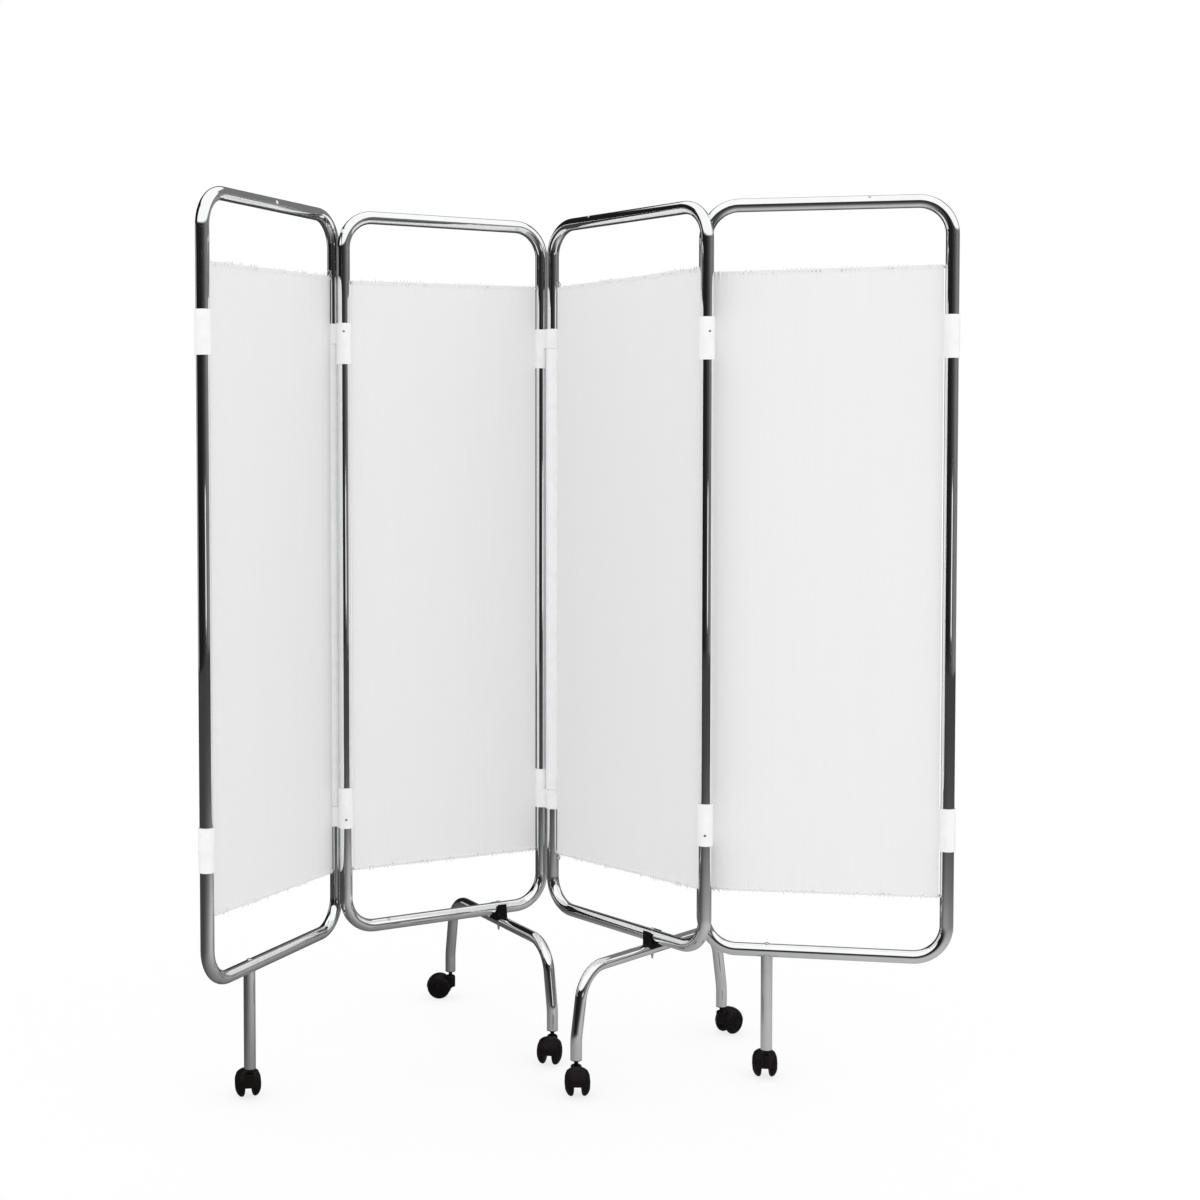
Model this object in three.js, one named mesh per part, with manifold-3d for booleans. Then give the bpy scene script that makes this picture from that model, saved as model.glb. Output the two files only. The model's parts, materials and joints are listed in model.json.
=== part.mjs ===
// Ward privacy screen on wheels: four hinged tube frames, each with a curtain stretched on two wires.
// The two outer panels stand on a straight leg and the two inner ones on a cross leg with two feet.
// Millimetres and degrees. X runs along the screen to the right, Y away from the viewer, Z up.
import * as THREE from 'three';
import { mergeVertices } from 'three/addons/utils/BufferGeometryUtils.js';
import Module from 'manifold-3d';

const wasm = await Module();
wasm.setup();

// Frames: one closed ring of round tube for each panel, measured between centre lines
const frameTube = 25;
const frameWall = 1.5;
const panelWidth = 450;
const panelHeight = 1405;
const cornerRadius = 62;
const railHeight = 250;

// How the panels stand in plan: the turn of each panel, and of each line from one hinge post to the next
const panelTurns = { one: 63.4, two: 28.4, three: -53.2, four: -10.5 };
const linkTurns = { oneTwo: 133, twoThree: -42.5, threeFour: 88 };
const hingeGap = 6;

// Hinge clips, end sleeves and the spacer sleeves between two clips
const slideFit = 0.6;
const sleeveWall = 1.5;
const sleeveLength = 80;
const knuckleLength = 40;
const webWidth = 16;
const topSleeveDrop = 221;
const bottomSleeveRise = 215;
const endSleeveWall = 1.5;
const spacerWall = 1.2;

// Curtains, hung on a wire through a casing at the top and at the bottom
const clothThickness = 1.6;
const foldDepth = 2.4;
const foldCount = 8;
const casingThickness = 6.4;
const casingHeight = 8;
const headingHeight = 5;
const headingFlare = 1.6;
const topWireDrop = 137;
const bottomWireRise = 130;
const curtainSideGap = 1;
const wireDiameter = 3;
const wireFit = 0.4;
const eyeDiameter = 6;
const eyeLength = 3;

// Legs: a straight one under each outer panel, a bent cross leg under each inner one
const legTube = 22;
const legWall = 1.5;
const straightLegPlaces = { one: 134, four: 120 };
const crossLegPlaces = { two: 347, three: 305 };
const crossLegTurns = { two: -2, three: 9 };
const footReach = 228;
const legSplay = 10;
const legBendRadius = 65;
const ankleRise = 38;
const ankleBendRadius = 120;
const railToBarGap = 1.5;
const legScrewHole = 8;

// The saddle and the bolt that hold a cross leg under its rail
const cheekLength = 20;
const cheekWall = 3;
const cheekDrop = 3;
const saddleWall = 2;
const saddleGrip = 8;
const boltDiameter = 6;
const boltFit = 0.4;
const boltHeadDiameter = 9;
const boltHeadHeight = 2;
const boltTipDiameter = 3;
const boltTipLength = 10;

// Castors: a plugged stem in the tube end, and a hood on it that carries two wheels
const wheelDiameter = 50;
const wheelWidth = 16;
const wheelGap = 15;
const treadRounding = 13;
const castorHeight = 60;
const castorTrail = 24;
const plugLength = 20;
const flangeHeight = 1.5;
const neckHeight = 8.2;
const stemDiameter = 8;
const stemSocketDepth = 18;
const stemBossDiameter = 21;
const hoodWall = 2;
const hoodAir = 1;
const hubDiameter = 14;
const axleDiameter = 6;
const axleDepth = 12;
const wheelDish = 1.5;
const hoodTilt = -2;
const castorTurns = { one: 106, twoBack: 170, twoFront: -106, threeFront: -88, threeBack: 41, four: 87 };

// The gap between pieces that touch, and how far a cutting tool runs past what it cuts
const seatGap = 0.3;
const overrun = 5;

// How finely round shapes are divided
const tubeSides = 12;
const boreSides = 8;
const sleeveSides = 14;
const smallSides = 8;
const wireSides = 6;
const wheelSides = 12;
const bendSteps = 4;
const ankleSteps = 2;

// Values that follow from the sizes above
const tubeRadius = frameTube / 2;
const tubeBore = tubeRadius - frameWall;
const postPitch = frameTube + hingeGap;
const sleeveBore = tubeRadius + slideFit;
const sleeveRadius = sleeveBore + sleeveWall;
const frameTop = railHeight + panelHeight + tubeRadius;
const frameBottom = railHeight - tubeRadius;
const topSleeveTop = frameTop - topSleeveDrop;
const bottomSleeveBottom = frameBottom + bottomSleeveRise;
const topWireHeight = frameTop - topWireDrop;
const bottomWireHeight = frameBottom + bottomWireRise;
const legRadius = legTube / 2;
const legBore = legRadius - legWall;
const barHeight = frameBottom - railToBarGap - legRadius;
const wheelRadius = wheelDiameter / 2;
const wheelInner = wheelGap / 2 + seatGap;
const wheelOuter = wheelInner + wheelWidth;
const hoodTop = castorHeight - seatGap - flangeHeight - neckHeight;
const axleSocketEnd = wheelInner + axleDepth + seatGap;
const roundingShares = [0, 0.5, 1];

// Materials
const finish = (name, color, metalness, roughness) =>
  new THREE.MeshStandardMaterial({ name, color, metalness, roughness });
const chrome = finish('chrome', 0xd6d8da, 1, 0.12);
const steelWire = finish('steel_wire', 0xc9cbcd, 1, 0.3);
const whitePlastic = finish('white_plastic', 0xe9e9ea, 0, 0.4);
const whiteCloth = finish('white_cloth', 0xe8e8e7, 0, 0.9);
const blackPlastic = finish('black_plastic', 0x171414, 0, 0.45);
const blackWheel = finish('black_wheel', 0x1a1716, 0, 0.5);

const radians = THREE.MathUtils.degToRad;

// A point at a distance along a turn in plan
function planPoint(distance, turn) {
  return new THREE.Vector3(Math.cos(radians(turn)), Math.sin(radians(turn)), 0).multiplyScalar(distance);
}

// The closed solid of a geometry, and the geometry of a solid
function solidOf(geometry) {
  const bare = geometry.clone();
  bare.deleteAttribute('normal');
  bare.deleteAttribute('uv');
  const merged = mergeVertices(bare);
  const corners = merged.index.array;
  const faces = [];
  for (let i = 0; i < corners.length; i += 3) {
    const [a, b, c] = corners.slice(i, i + 3);
    if (a !== b && b !== c && c !== a) faces.push(a, b, c);
  }
  const vertProperties = new Float32Array(merged.attributes.position.array);
  return new wasm.Manifold(new wasm.Mesh({ numProp: 3, vertProperties, triVerts: new Uint32Array(faces) }));
}

function geometryOf(solid) {
  const mesh = solid.getMesh();
  const geometry = new THREE.BufferGeometry();
  geometry.setAttribute('position', new THREE.BufferAttribute(mesh.vertProperties, 3));
  geometry.setIndex(new THREE.BufferAttribute(mesh.triVerts, 1));
  geometry.computeVertexNormals();
  return geometry;
}

const joined = (geometries) => geometries.map(solidOf).reduce((all, next) => all.add(next));
const cut = (solid, tools) => tools.map(solidOf).reduce((left, tool) => left.subtract(tool), solid);

// An upright round bar between two heights
function uprightBar(radius, low, high, sides) {
  const bar = new THREE.CylinderGeometry(radius, radius, high - low, sides);
  return bar.rotateX(Math.PI / 2).translate(0, 0, (low + high) / 2);
}

// A half profile, as pairs of radius and height, turned about the upright axis
function turnedProfile(profile, sides) {
  const points = profile.map(([radius, height]) => new THREE.Vector2(radius, height));
  return new THREE.LatheGeometry(points, sides).rotateX(Math.PI / 2);
}

// The same, with the middle of each flat at the profile's radius, so that a wheel stands on a flat
function turnedOnFlats(profile, sides) {
  const outward = 1 / Math.cos(Math.PI / sides);
  const points = profile.map(([radius, height]) => new THREE.Vector2(radius * outward, height));
  return new THREE.LatheGeometry(points, sides, Math.PI / sides).rotateX(Math.PI / 2);
}

function uprightSleeve(bore, radius, low, high) {
  const profile = [[bore, low], [radius, low], [radius, high], [bore, high], [bore, low]];
  return turnedProfile(profile, sleeveSides);
}

// A round bar that lies along X or along Y
function barAlongX(radius, length, sides) {
  return new THREE.CylinderGeometry(radius, radius, length, sides).rotateZ(Math.PI / 2);
}

function barAlongY(radius, length, sides) {
  return new THREE.CylinderGeometry(radius, radius, length, sides);
}

// A path known by its stations, so that a tube has a ring only where it bends or ends
class StationPath extends THREE.Curve {
  constructor(points, tangents) {
    super();
    this.points = points;
    this.tangents = tangents;
    this.steps = points.length - 1;
  }

  getPoint(t, target = new THREE.Vector3()) {
    return target.copy(this.points[Math.round(t * this.steps)]);
  }

  getTangent(t, target = new THREE.Vector3()) {
    return target.copy(this.tangents[Math.round(t * this.steps)]);
  }

  getUtoTmapping(u) {
    return u;
  }
}

// The stations of one round bend at a corner, from the straight run before it to the one after it
function bendStations(before, corner, after, radius, steps) {
  const into = corner.clone().sub(before).normalize();
  const out = after.clone().sub(corner).normalize();
  const bend = into.angleTo(out);
  const inward = out.clone().addScaledVector(into, -Math.cos(bend)).normalize();
  const start = corner.clone().addScaledVector(into, -radius * Math.tan(bend / 2));
  const points = [];
  const tangents = [];
  for (let step = 0; step <= steps; step++) {
    const turned = (bend * step) / steps;
    const ahead = radius * Math.sin(turned);
    const aside = radius * (1 - Math.cos(turned));
    points.push(start.clone().addScaledVector(into, ahead).addScaledVector(inward, aside));
    tangents.push(into.clone().multiplyScalar(Math.cos(turned)).addScaledVector(inward, Math.sin(turned)));
  }
  return { points, tangents };
}

// The closed ring of a panel's frame, in its own plane from the left post's foot
function frameRing(radius, sides) {
  const low = railHeight;
  const high = railHeight + panelHeight;
  const corners = [[0, low], [panelWidth, low], [panelWidth, high], [0, high]];
  const places = corners.map(([along, up]) => new THREE.Vector3(along, 0, up));
  const points = [];
  const tangents = [];
  places.forEach((corner, index) => {
    const before = places[(index + places.length - 1) % places.length];
    const after = places[(index + 1) % places.length];
    const bend = bendStations(before, corner, after, cornerRadius, bendSteps);
    points.push(...bend.points);
    tangents.push(...bend.tangents);
  });
  points.push(points[0]);
  tangents.push(tangents[0]);
  const path = new StationPath(points, tangents);
  return new THREE.TubeGeometry(path, path.steps, radius, sides, true);
}

// A frame is a hollow ring with a screw hole for a straight leg, or a bolt hole for a cross leg
function frameGeometry(holePlace, holeRadius, holeTop) {
  const hole = uprightBar(holeRadius, frameBottom - overrun, holeTop, smallSides);
  hole.translate(holePlace, 0, 0);
  return geometryOf(cut(solidOf(frameRing(tubeRadius, tubeSides)), [frameRing(tubeBore, boreSides), hole]));
}

// One curtain: a sheet with upright folds that runs into a straight casing round each wire
function curtainGeometry() {
  const start = tubeRadius + seatGap + eyeLength + curtainSideGap;
  const width = panelWidth - start - start;
  const columnsPerFold = 2;
  const columns = foldCount * columnsPerFold;
  const rows = [
    { height: bottomWireHeight - headingHeight, depth: headingFlare, thickness: clothThickness },
    { height: bottomWireHeight, depth: 0, thickness: casingThickness },
    { height: bottomWireHeight + casingHeight, depth: foldDepth, thickness: clothThickness },
    { height: topWireHeight - casingHeight, depth: foldDepth, thickness: clothThickness },
    { height: topWireHeight, depth: 0, thickness: casingThickness },
    { height: topWireHeight + headingHeight, depth: headingFlare, thickness: clothThickness },
  ];
  const positions = [];
  for (const side of [-1, 1]) {
    for (const row of rows) {
      for (let column = 0; column <= columns; column++) {
        const fold = Math.cos((column * Math.PI * 2) / columnsPerFold);
        const along = start + (width * column) / columns;
        positions.push(along, row.depth * fold + (side * row.thickness) / 2, row.height);
      }
    }
  }
  const ring = columns + 1;
  const back = ring * rows.length;
  const index = [];
  const quad = (a, b, c, d) => index.push(a, b, c, a, c, d);
  for (let row = 0; row < rows.length - 1; row++) {
    for (let column = 0; column < columns; column++) {
      const at = row * ring + column;
      quad(at, at + 1, at + ring + 1, at + ring);
      quad(back + at, back + at + ring, back + at + ring + 1, back + at + 1);
    }
    const left = row * ring;
    const right = left + columns;
    quad(left, left + ring, back + left + ring, back + left);
    quad(right, back + right, back + right + ring, right + ring);
  }
  const top = (rows.length - 1) * ring;
  for (let column = 0; column < columns; column++) {
    quad(column, back + column, back + column + 1, column + 1);
    quad(top + column, top + column + 1, back + top + column + 1, back + top + column);
  }
  const sheet = new THREE.BufferGeometry();
  sheet.setAttribute('position', new THREE.Float32BufferAttribute(positions, 3));
  sheet.setIndex(index);
  const channels = [topWireHeight, bottomWireHeight].map((height) => {
    const channel = barAlongX(wireDiameter / 2 + wireFit, panelWidth, smallSides);
    return channel.translate(panelWidth / 2, 0, height);
  });
  return geometryOf(cut(solidOf(sheet), channels));
}

// A curtain wire with the round eye at each end that screws into the post
function wireGeometry(height) {
  const reach = panelWidth / 2 - tubeRadius - seatGap;
  const eye = eyeDiameter / 2;
  const wire = wireDiameter / 2;
  const neck = reach - eyeLength;
  const profile = [
    [0, -reach], [eye, -reach], [eye, -neck], [wire, -neck],
    [wire, neck], [eye, neck], [eye, reach], [0, reach],
  ];
  const wireShape = turnedProfile(profile, wireSides).rotateY(Math.PI / 2);
  return geometryOf(solidOf(wireShape.translate(panelWidth / 2, 0, height)));
}

// A hinge clip: a full sleeve on one post, a half-length knuckle on the next, and the web between them
function clipGeometry(sleevePost, knucklePost, sleeveLow, knuckleLow) {
  const sleeveHigh = sleeveLow + sleeveLength;
  const knuckleHigh = knuckleLow + knuckleLength;
  const link = knucklePost.clone().sub(sleevePost);
  const web = new THREE.BoxGeometry(link.length(), webWidth, knuckleLength);
  web.rotateZ(Math.atan2(link.y, link.x));
  const middle = sleevePost.clone().add(knucklePost).multiplyScalar(0.5);
  web.translate(middle.x, middle.y, (knuckleLow + knuckleHigh) / 2);
  const at = (shape, post) => shape.translate(post.x, post.y, 0);
  const body = joined([
    at(uprightBar(sleeveRadius, sleeveLow, sleeveHigh, sleeveSides), sleevePost),
    at(uprightBar(sleeveRadius, knuckleLow, knuckleHigh, sleeveSides), knucklePost),
    web,
  ]);
  const bores = [sleevePost, knucklePost].map((post) =>
    at(uprightBar(sleeveBore, sleeveLow - overrun, sleeveHigh + overrun, sleeveSides), post));
  return geometryOf(cut(body, bores));
}

function plainSleeveGeometry(wall, low, high) {
  return geometryOf(solidOf(uprightSleeve(sleeveBore, sleeveBore + wall, low, high)));
}

// A straight leg: an open tube whose top is coped to the underside of the rail
function straightLegGeometry() {
  const leg = uprightBar(legRadius, castorHeight, railHeight, tubeSides);
  const bore = uprightBar(legBore, castorHeight - overrun, railHeight + overrun, boreSides);
  const rail = barAlongX(tubeRadius + seatGap, frameTube + overrun, tubeSides + tubeSides);
  return geometryOf(cut(solidOf(leg), [bore, rail.translate(0, 0, railHeight)]));
}

// The path of a cross leg: up from one foot, out of its ankle bend with a splay, along under the rail, and down
function crossLegPath(past) {
  const foot = castorHeight - past;
  const ankle = castorHeight + ankleRise;
  const shoulder = footReach - (barHeight - ankle) * Math.tan(radians(legSplay));
  const corners = [
    [-footReach, foot], [-footReach, ankle], [-shoulder, barHeight],
    [shoulder, barHeight], [footReach, ankle], [footReach, foot],
  ];
  const places = corners.map(([across, up]) => new THREE.Vector3(0, across, up));
  const upright = new THREE.Vector3(0, 0, 1);
  const points = [places[0]];
  const tangents = [upright];
  for (let corner = 1; corner < places.length - 1; corner++) {
    const ankleBend = corner === 1 || corner === places.length - 2;
    const radius = ankleBend ? ankleBendRadius : legBendRadius;
    const steps = ankleBend ? ankleSteps : bendSteps;
    const bend = bendStations(places[corner - 1], places[corner], places[corner + 1], radius, steps);
    points.push(...bend.points);
    tangents.push(...bend.tangents);
  }
  points.push(places[places.length - 1]);
  tangents.push(upright.clone().negate());
  return new StationPath(points, tangents);
}

function bentBar(path, radius, sides) {
  const outline = new THREE.Shape();
  for (let side = 0; side < sides; side++) {
    const angle = (side * Math.PI * 2) / sides;
    const place = [radius * Math.cos(angle), radius * Math.sin(angle)];
    if (side === 0) outline.moveTo(...place);
    else outline.lineTo(...place);
  }
  outline.closePath();
  return new THREE.ExtrudeGeometry(outline, { steps: path.steps, extrudePath: path });
}

// A cross leg is an open tube with a bolt hole at its middle
function crossLegGeometry() {
  const bar = bentBar(crossLegPath(0), legRadius, tubeSides);
  const bore = bentBar(crossLegPath(overrun), legBore, boreSides);
  const bolt = uprightBar(boltDiameter / 2 + boltFit, castorHeight, railHeight, smallSides);
  return geometryOf(cut(solidOf(bar), [bore, bolt]));
}

// The saddle between rail and cross leg, with its bolt: two cheeks rise beside the rail, two hold the bar
function saddleGeometry(legTurn) {
  const depth = frameTube + cheekWall + cheekWall;
  const waist = frameBottom + saddleGrip / 2;
  const cheekTop = railHeight + tubeRadius - cheekDrop;
  const bottom = barHeight + legRadius - saddleGrip;
  const cheeks = new THREE.BoxGeometry(cheekLength, depth, cheekTop - barHeight);
  cheeks.translate(0, 0, (cheekTop + barHeight) / 2);
  const grip = new THREE.BoxGeometry(legTube + saddleWall + saddleWall, depth, waist - bottom);
  grip.rotateZ(radians(legTurn)).translate(0, 0, (waist + bottom) / 2);
  const foot = new THREE.BoxGeometry(panelWidth, panelWidth, bottom);
  const railSides = tubeSides + tubeSides;
  const rail = barAlongX(tubeRadius + seatGap, panelWidth, railSides).translate(0, 0, railHeight);
  const slot = new THREE.BoxGeometry(panelWidth, frameTube + seatGap + seatGap, frameTube);
  const bar = barAlongY(legRadius + seatGap, panelWidth, railSides);
  const saddle = cut(joined([cheeks, grip]), [
    foot.translate(0, 0, bottom / 2),
    rail,
    slot.translate(0, 0, railHeight + tubeRadius),
    bar.rotateZ(radians(legTurn)).translate(0, 0, barHeight),
  ]);
  const headLow = railHeight + tubeRadius + seatGap;
  const headTop = headLow + boltHeadHeight;
  const tipHigh = barHeight - legRadius;
  const tipLow = tipHigh - boltTipLength;
  const bolt = boltDiameter / 2;
  const tip = boltTipDiameter / 2;
  const head = boltHeadDiameter / 2;
  const profile = [
    [0, tipLow], [tip, tipLow], [bolt, tipHigh], [bolt, headLow], [head, headLow], [head, headTop], [0, headTop],
  ];
  return geometryOf(saddle.add(solidOf(turnedProfile(profile, smallSides))));
}

// A castor's plug, flange and pin in one piece, about the swivel axis
function stemGeometry() {
  const plug = legBore * Math.cos(Math.PI / boreSides) - seatGap;
  const flangeTop = castorHeight - seatGap;
  const flangeLow = flangeTop - flangeHeight;
  const pin = stemDiameter / 2;
  const pinEnd = hoodTop - stemSocketDepth + seatGap;
  const profile = [
    [0, pinEnd], [pin, pinEnd], [pin, flangeLow], [legRadius, flangeLow], [legRadius, flangeTop],
    [plug, flangeTop], [plug, castorHeight + plugLength], [0, castorHeight + plugLength],
  ];
  return geometryOf(solidOf(turnedProfile(profile, smallSides)));
}

// The rounded half profile shared by the wheel, its well and the hood, larger by the room around the wheel
function wheelProfile(room, inner, outer) {
  const radius = wheelRadius + room;
  const shoulder = outer + room - treadRounding;
  const rounding = roundingShares.map((share) => {
    const angle = (share * Math.PI) / 2;
    const drop = treadRounding * (1 - Math.cos(angle));
    return [radius - drop, shoulder + treadRounding * Math.sin(angle)];
  });
  return [[0, inner], [radius, inner], ...rounding, [0, outer + room]];
}

// Lays a turned shape on the axle: its axis along Y, on the wheel's side given by the sign
function onAxle(shape, sign) {
  return shape.rotateX((-sign * Math.PI) / 2).translate(castorTrail, 0, wheelRadius);
}

function wheelGeometry(sign) {
  const outline = wheelProfile(0, wheelInner, wheelOuter);
  outline.pop();
  const rim = wheelRadius - treadRounding;
  outline.push([rim - wheelDish, wheelOuter - wheelDish], [0, wheelOuter - wheelDish]);
  const wheel = solidOf(onAxle(turnedOnFlats(outline, wheelSides), sign));
  const socketRadius = axleDiameter / 2 + seatGap;
  const socket = uprightBar(socketRadius, wheelGap / 2 - overrun, axleSocketEnd, smallSides);
  return geometryOf(cut(wheel, [onAxle(socket, sign)]));
}

// The hood: a dome over both wheels, the stem's boss, the hub between the wheels and the axle
function hoodGeometry() {
  const skin = hoodAir + hoodWall;
  const halves = [1, -1].map((sign) => {
    const dome = turnedOnFlats(wheelProfile(skin, 0, wheelOuter - hoodAir), wheelSides);
    return onAxle(dome, sign);
  });
  const size = (wheelRadius + skin) * 2;
  const under = new THREE.BoxGeometry(size + size, size + size, size);
  under.translate(0, 0, -size / 2).rotateY(-radians(hoodTilt)).translate(castorTrail, 0, wheelRadius);
  const dome = cut(joined(halves), [under]);
  const boss = uprightBar(stemBossDiameter / 2, wheelRadius, hoodTop, tubeSides);
  const hub = barAlongY(hubDiameter / 2, wheelGap, tubeSides).translate(castorTrail, 0, wheelRadius);
  const web = new THREE.BoxGeometry(castorTrail, wheelGap, wheelRadius);
  web.translate(castorTrail / 2, 0, wheelRadius + hubDiameter / 2);
  const wells = [1, -1].map((sign) => {
    const outline = wheelProfile(hoodAir, wheelGap / 2, wheelOuter);
    outline[outline.length - 1] = [0, wheelOuter + skin];
    outline.splice(outline.length - 1, 0, [wheelRadius + hoodAir - treadRounding, wheelOuter + skin]);
    return onAxle(turnedOnFlats(outline, wheelSides), sign);
  });
  const socketRadius = stemDiameter / 2 + seatGap;
  const socket = uprightBar(socketRadius, hoodTop - stemSocketDepth, hoodTop + overrun, smallSides);
  const body = cut(dome.add(joined([boss, hub, web])), [...wells, socket]);
  const axle = barAlongY(axleDiameter / 2, (wheelInner + axleDepth) * 2, smallSides);
  return geometryOf(body.add(solidOf(axle.translate(castorTrail, 0, wheelRadius))));
}

function piece(name, geometry, material) {
  const mesh = new THREE.Mesh(geometry, material);
  mesh.name = name;
  return mesh;
}

const frontWheel = wheelGeometry(1);
const rearWheel = wheelGeometry(-1);
const hood = hoodGeometry();
const stem = stemGeometry();

// One whole castor under a tube end, trailing towards its turn from the panel's own direction
function castor(name, turn) {
  const group = new THREE.Group();
  group.add(piece(`castor_${name}_stem`, stem, steelWire));
  group.add(piece(`castor_${name}_hood`, hood, blackPlastic));
  group.add(piece(`castor_${name}_wheel_a`, frontWheel, blackWheel));
  group.add(piece(`castor_${name}_wheel_b`, rearWheel, blackWheel));
  group.rotation.z = radians(turn);
  return group;
}

const curtain = curtainGeometry();
const topWire = wireGeometry(topWireHeight);
const bottomWire = wireGeometry(bottomWireHeight);
const topEndSleeve = plainSleeveGeometry(endSleeveWall, topSleeveTop - sleeveLength, topSleeveTop);
const bottomEndSleeve =
  plainSleeveGeometry(endSleeveWall, bottomSleeveBottom, bottomSleeveBottom + sleeveLength);
const spacerSleeve = plainSleeveGeometry(spacerWall,
  bottomSleeveBottom + knuckleLength + seatGap, topSleeveTop - knuckleLength - seatGap);

const leftPost = new THREE.Vector3(0, 0, 0);
const rightPost = new THREE.Vector3(panelWidth, 0, 0);

// A panel's group stands at the foot of its left post and runs along its own X to the right post
function panel(number, place, turn, hole) {
  const group = new THREE.Group();
  group.position.copy(place);
  group.rotation.z = radians(turn);
  group.add(piece(`frame_${number}`, frameGeometry(hole.place, hole.radius, hole.top), chrome));
  group.add(piece(`curtain_${number}`, curtain, whiteCloth));
  group.add(piece(`curtain_wire_${number}_top`, topWire, steelWire));
  group.add(piece(`curtain_wire_${number}_bottom`, bottomWire, steelWire));
  return group;
}

const boltHole = (place) => ({ place, radius: boltDiameter / 2 + boltFit, top: railHeight + frameTube });
const screwHole = (place) => ({ place, radius: legScrewHole / 2, top: railHeight });

function addAt(group, mesh, place) {
  mesh.position.copy(place);
  group.add(mesh);
}

// The pair of hinge clips between two panels, in the frame of the panel that carries them
function addClips(group, name, sleevePost, knucklePost) {
  const top = clipGeometry(sleevePost, knucklePost, topSleeveTop - sleeveLength, topSleeveTop - knuckleLength);
  const bottom = clipGeometry(sleevePost, knucklePost, bottomSleeveBottom, bottomSleeveBottom);
  group.add(piece(`hinge_clip_${name}_top`, top, whitePlastic));
  group.add(piece(`hinge_clip_${name}_bottom`, bottom, whitePlastic));
}

function addEndSleeves(group, number, place) {
  addAt(group, piece(`end_sleeve_${number}_top`, topEndSleeve, whitePlastic), place);
  addAt(group, piece(`end_sleeve_${number}_bottom`, bottomEndSleeve, whitePlastic), place);
}

function addStraightLeg(group, number, along, castorTurn) {
  const foot = new THREE.Group();
  foot.position.set(along, 0, 0);
  foot.add(piece(`leg_${number}`, straightLegGeometry(), chrome));
  foot.add(castor(number, castorTurn));
  group.add(foot);
}

function addCrossLeg(group, number, along, legTurn, castors) {
  const crossing = new THREE.Group();
  crossing.position.set(along, 0, 0);
  crossing.add(piece(`leg_clamp_${number}`, saddleGeometry(legTurn), blackPlastic));
  const leg = new THREE.Group();
  leg.rotation.z = radians(legTurn);
  leg.add(piece(`cross_leg_${number}`, crossLegGeometry(), chrome));
  for (const { side, sign, turn } of castors) {
    const foot = castor(`${number}_${side}`, turn - legTurn);
    foot.position.set(0, sign * footReach, 0);
    leg.add(foot);
  }
  crossing.add(leg);
  group.add(crossing);
}

// Where each panel's left post stands in plan, worked out from the second panel's left post
const places = { two: new THREE.Vector3() };
const hingePost = places.two.clone().add(planPoint(postPitch, linkTurns.oneTwo));
places.one = hingePost.sub(planPoint(panelWidth, panelTurns.one));
places.three = places.two.clone().add(planPoint(panelWidth, panelTurns.two));
places.three.add(planPoint(postPitch, linkTurns.twoThree));
places.four = places.three.clone().add(planPoint(panelWidth, panelTurns.three));
places.four.add(planPoint(postPitch, linkTurns.threeFour));

const panelOne = panel(1, places.one, panelTurns.one, screwHole(straightLegPlaces.one));
addEndSleeves(panelOne, 1, leftPost);
addAt(panelOne, piece('spacer_sleeve_1', spacerSleeve, whitePlastic), rightPost);
addStraightLeg(panelOne, 1, straightLegPlaces.one, castorTurns.one - panelTurns.one);

const panelTwo = panel(2, places.two, panelTurns.two, boltHole(crossLegPlaces.two));
const towardsOne = planPoint(postPitch, linkTurns.oneTwo - panelTurns.two);
const towardsThree = planPoint(postPitch, linkTurns.twoThree - panelTurns.two);
addClips(panelTwo, '1_2', leftPost, towardsOne);
addClips(panelTwo, '2_3', rightPost, towardsThree.add(rightPost));
addCrossLeg(panelTwo, 2, crossLegPlaces.two, crossLegTurns.two, [
  { side: 'back', sign: 1, turn: castorTurns.twoBack - panelTurns.two },
  { side: 'front', sign: -1, turn: castorTurns.twoFront - panelTurns.two },
]);

const panelThree = panel(3, places.three, panelTurns.three, boltHole(crossLegPlaces.three));
addAt(panelThree, piece('spacer_sleeve_3', spacerSleeve, whitePlastic), leftPost);
addCrossLeg(panelThree, 3, crossLegPlaces.three, crossLegTurns.three, [
  { side: 'back', sign: 1, turn: castorTurns.threeBack - panelTurns.three },
  { side: 'front', sign: -1, turn: castorTurns.threeFront - panelTurns.three },
]);

const panelFour = panel(4, places.four, panelTurns.four, screwHole(straightLegPlaces.four));
const halfTurn = 180;
const backToThree = planPoint(postPitch, linkTurns.threeFour + halfTurn - panelTurns.four);
addClips(panelFour, '3_4', backToThree, leftPost);
addEndSleeves(panelFour, 4, rightPost);
addAt(panelFour, piece('spacer_sleeve_4', spacerSleeve, whitePlastic), leftPost);
addStraightLeg(panelFour, 4, straightLegPlaces.four, castorTurns.four - panelTurns.four);

// The screen's own frame: on the floor, under the middle of its bounding box
const panels = new THREE.Group();
panels.add(panelOne, panelTwo, panelThree, panelFour);
const screen = new THREE.Group();
screen.add(panels);
screen.updateMatrixWorld(true);
const extent = new THREE.Box3().setFromObject(screen, true);
const middle = extent.getCenter(new THREE.Vector3());
panels.position.set(-middle.x, -middle.y, -extent.min.z);

export default screen;
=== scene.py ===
import json
import math
from collections import namedtuple

import bmesh
import bpy
import numpy as np
from mathutils import Matrix


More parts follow.
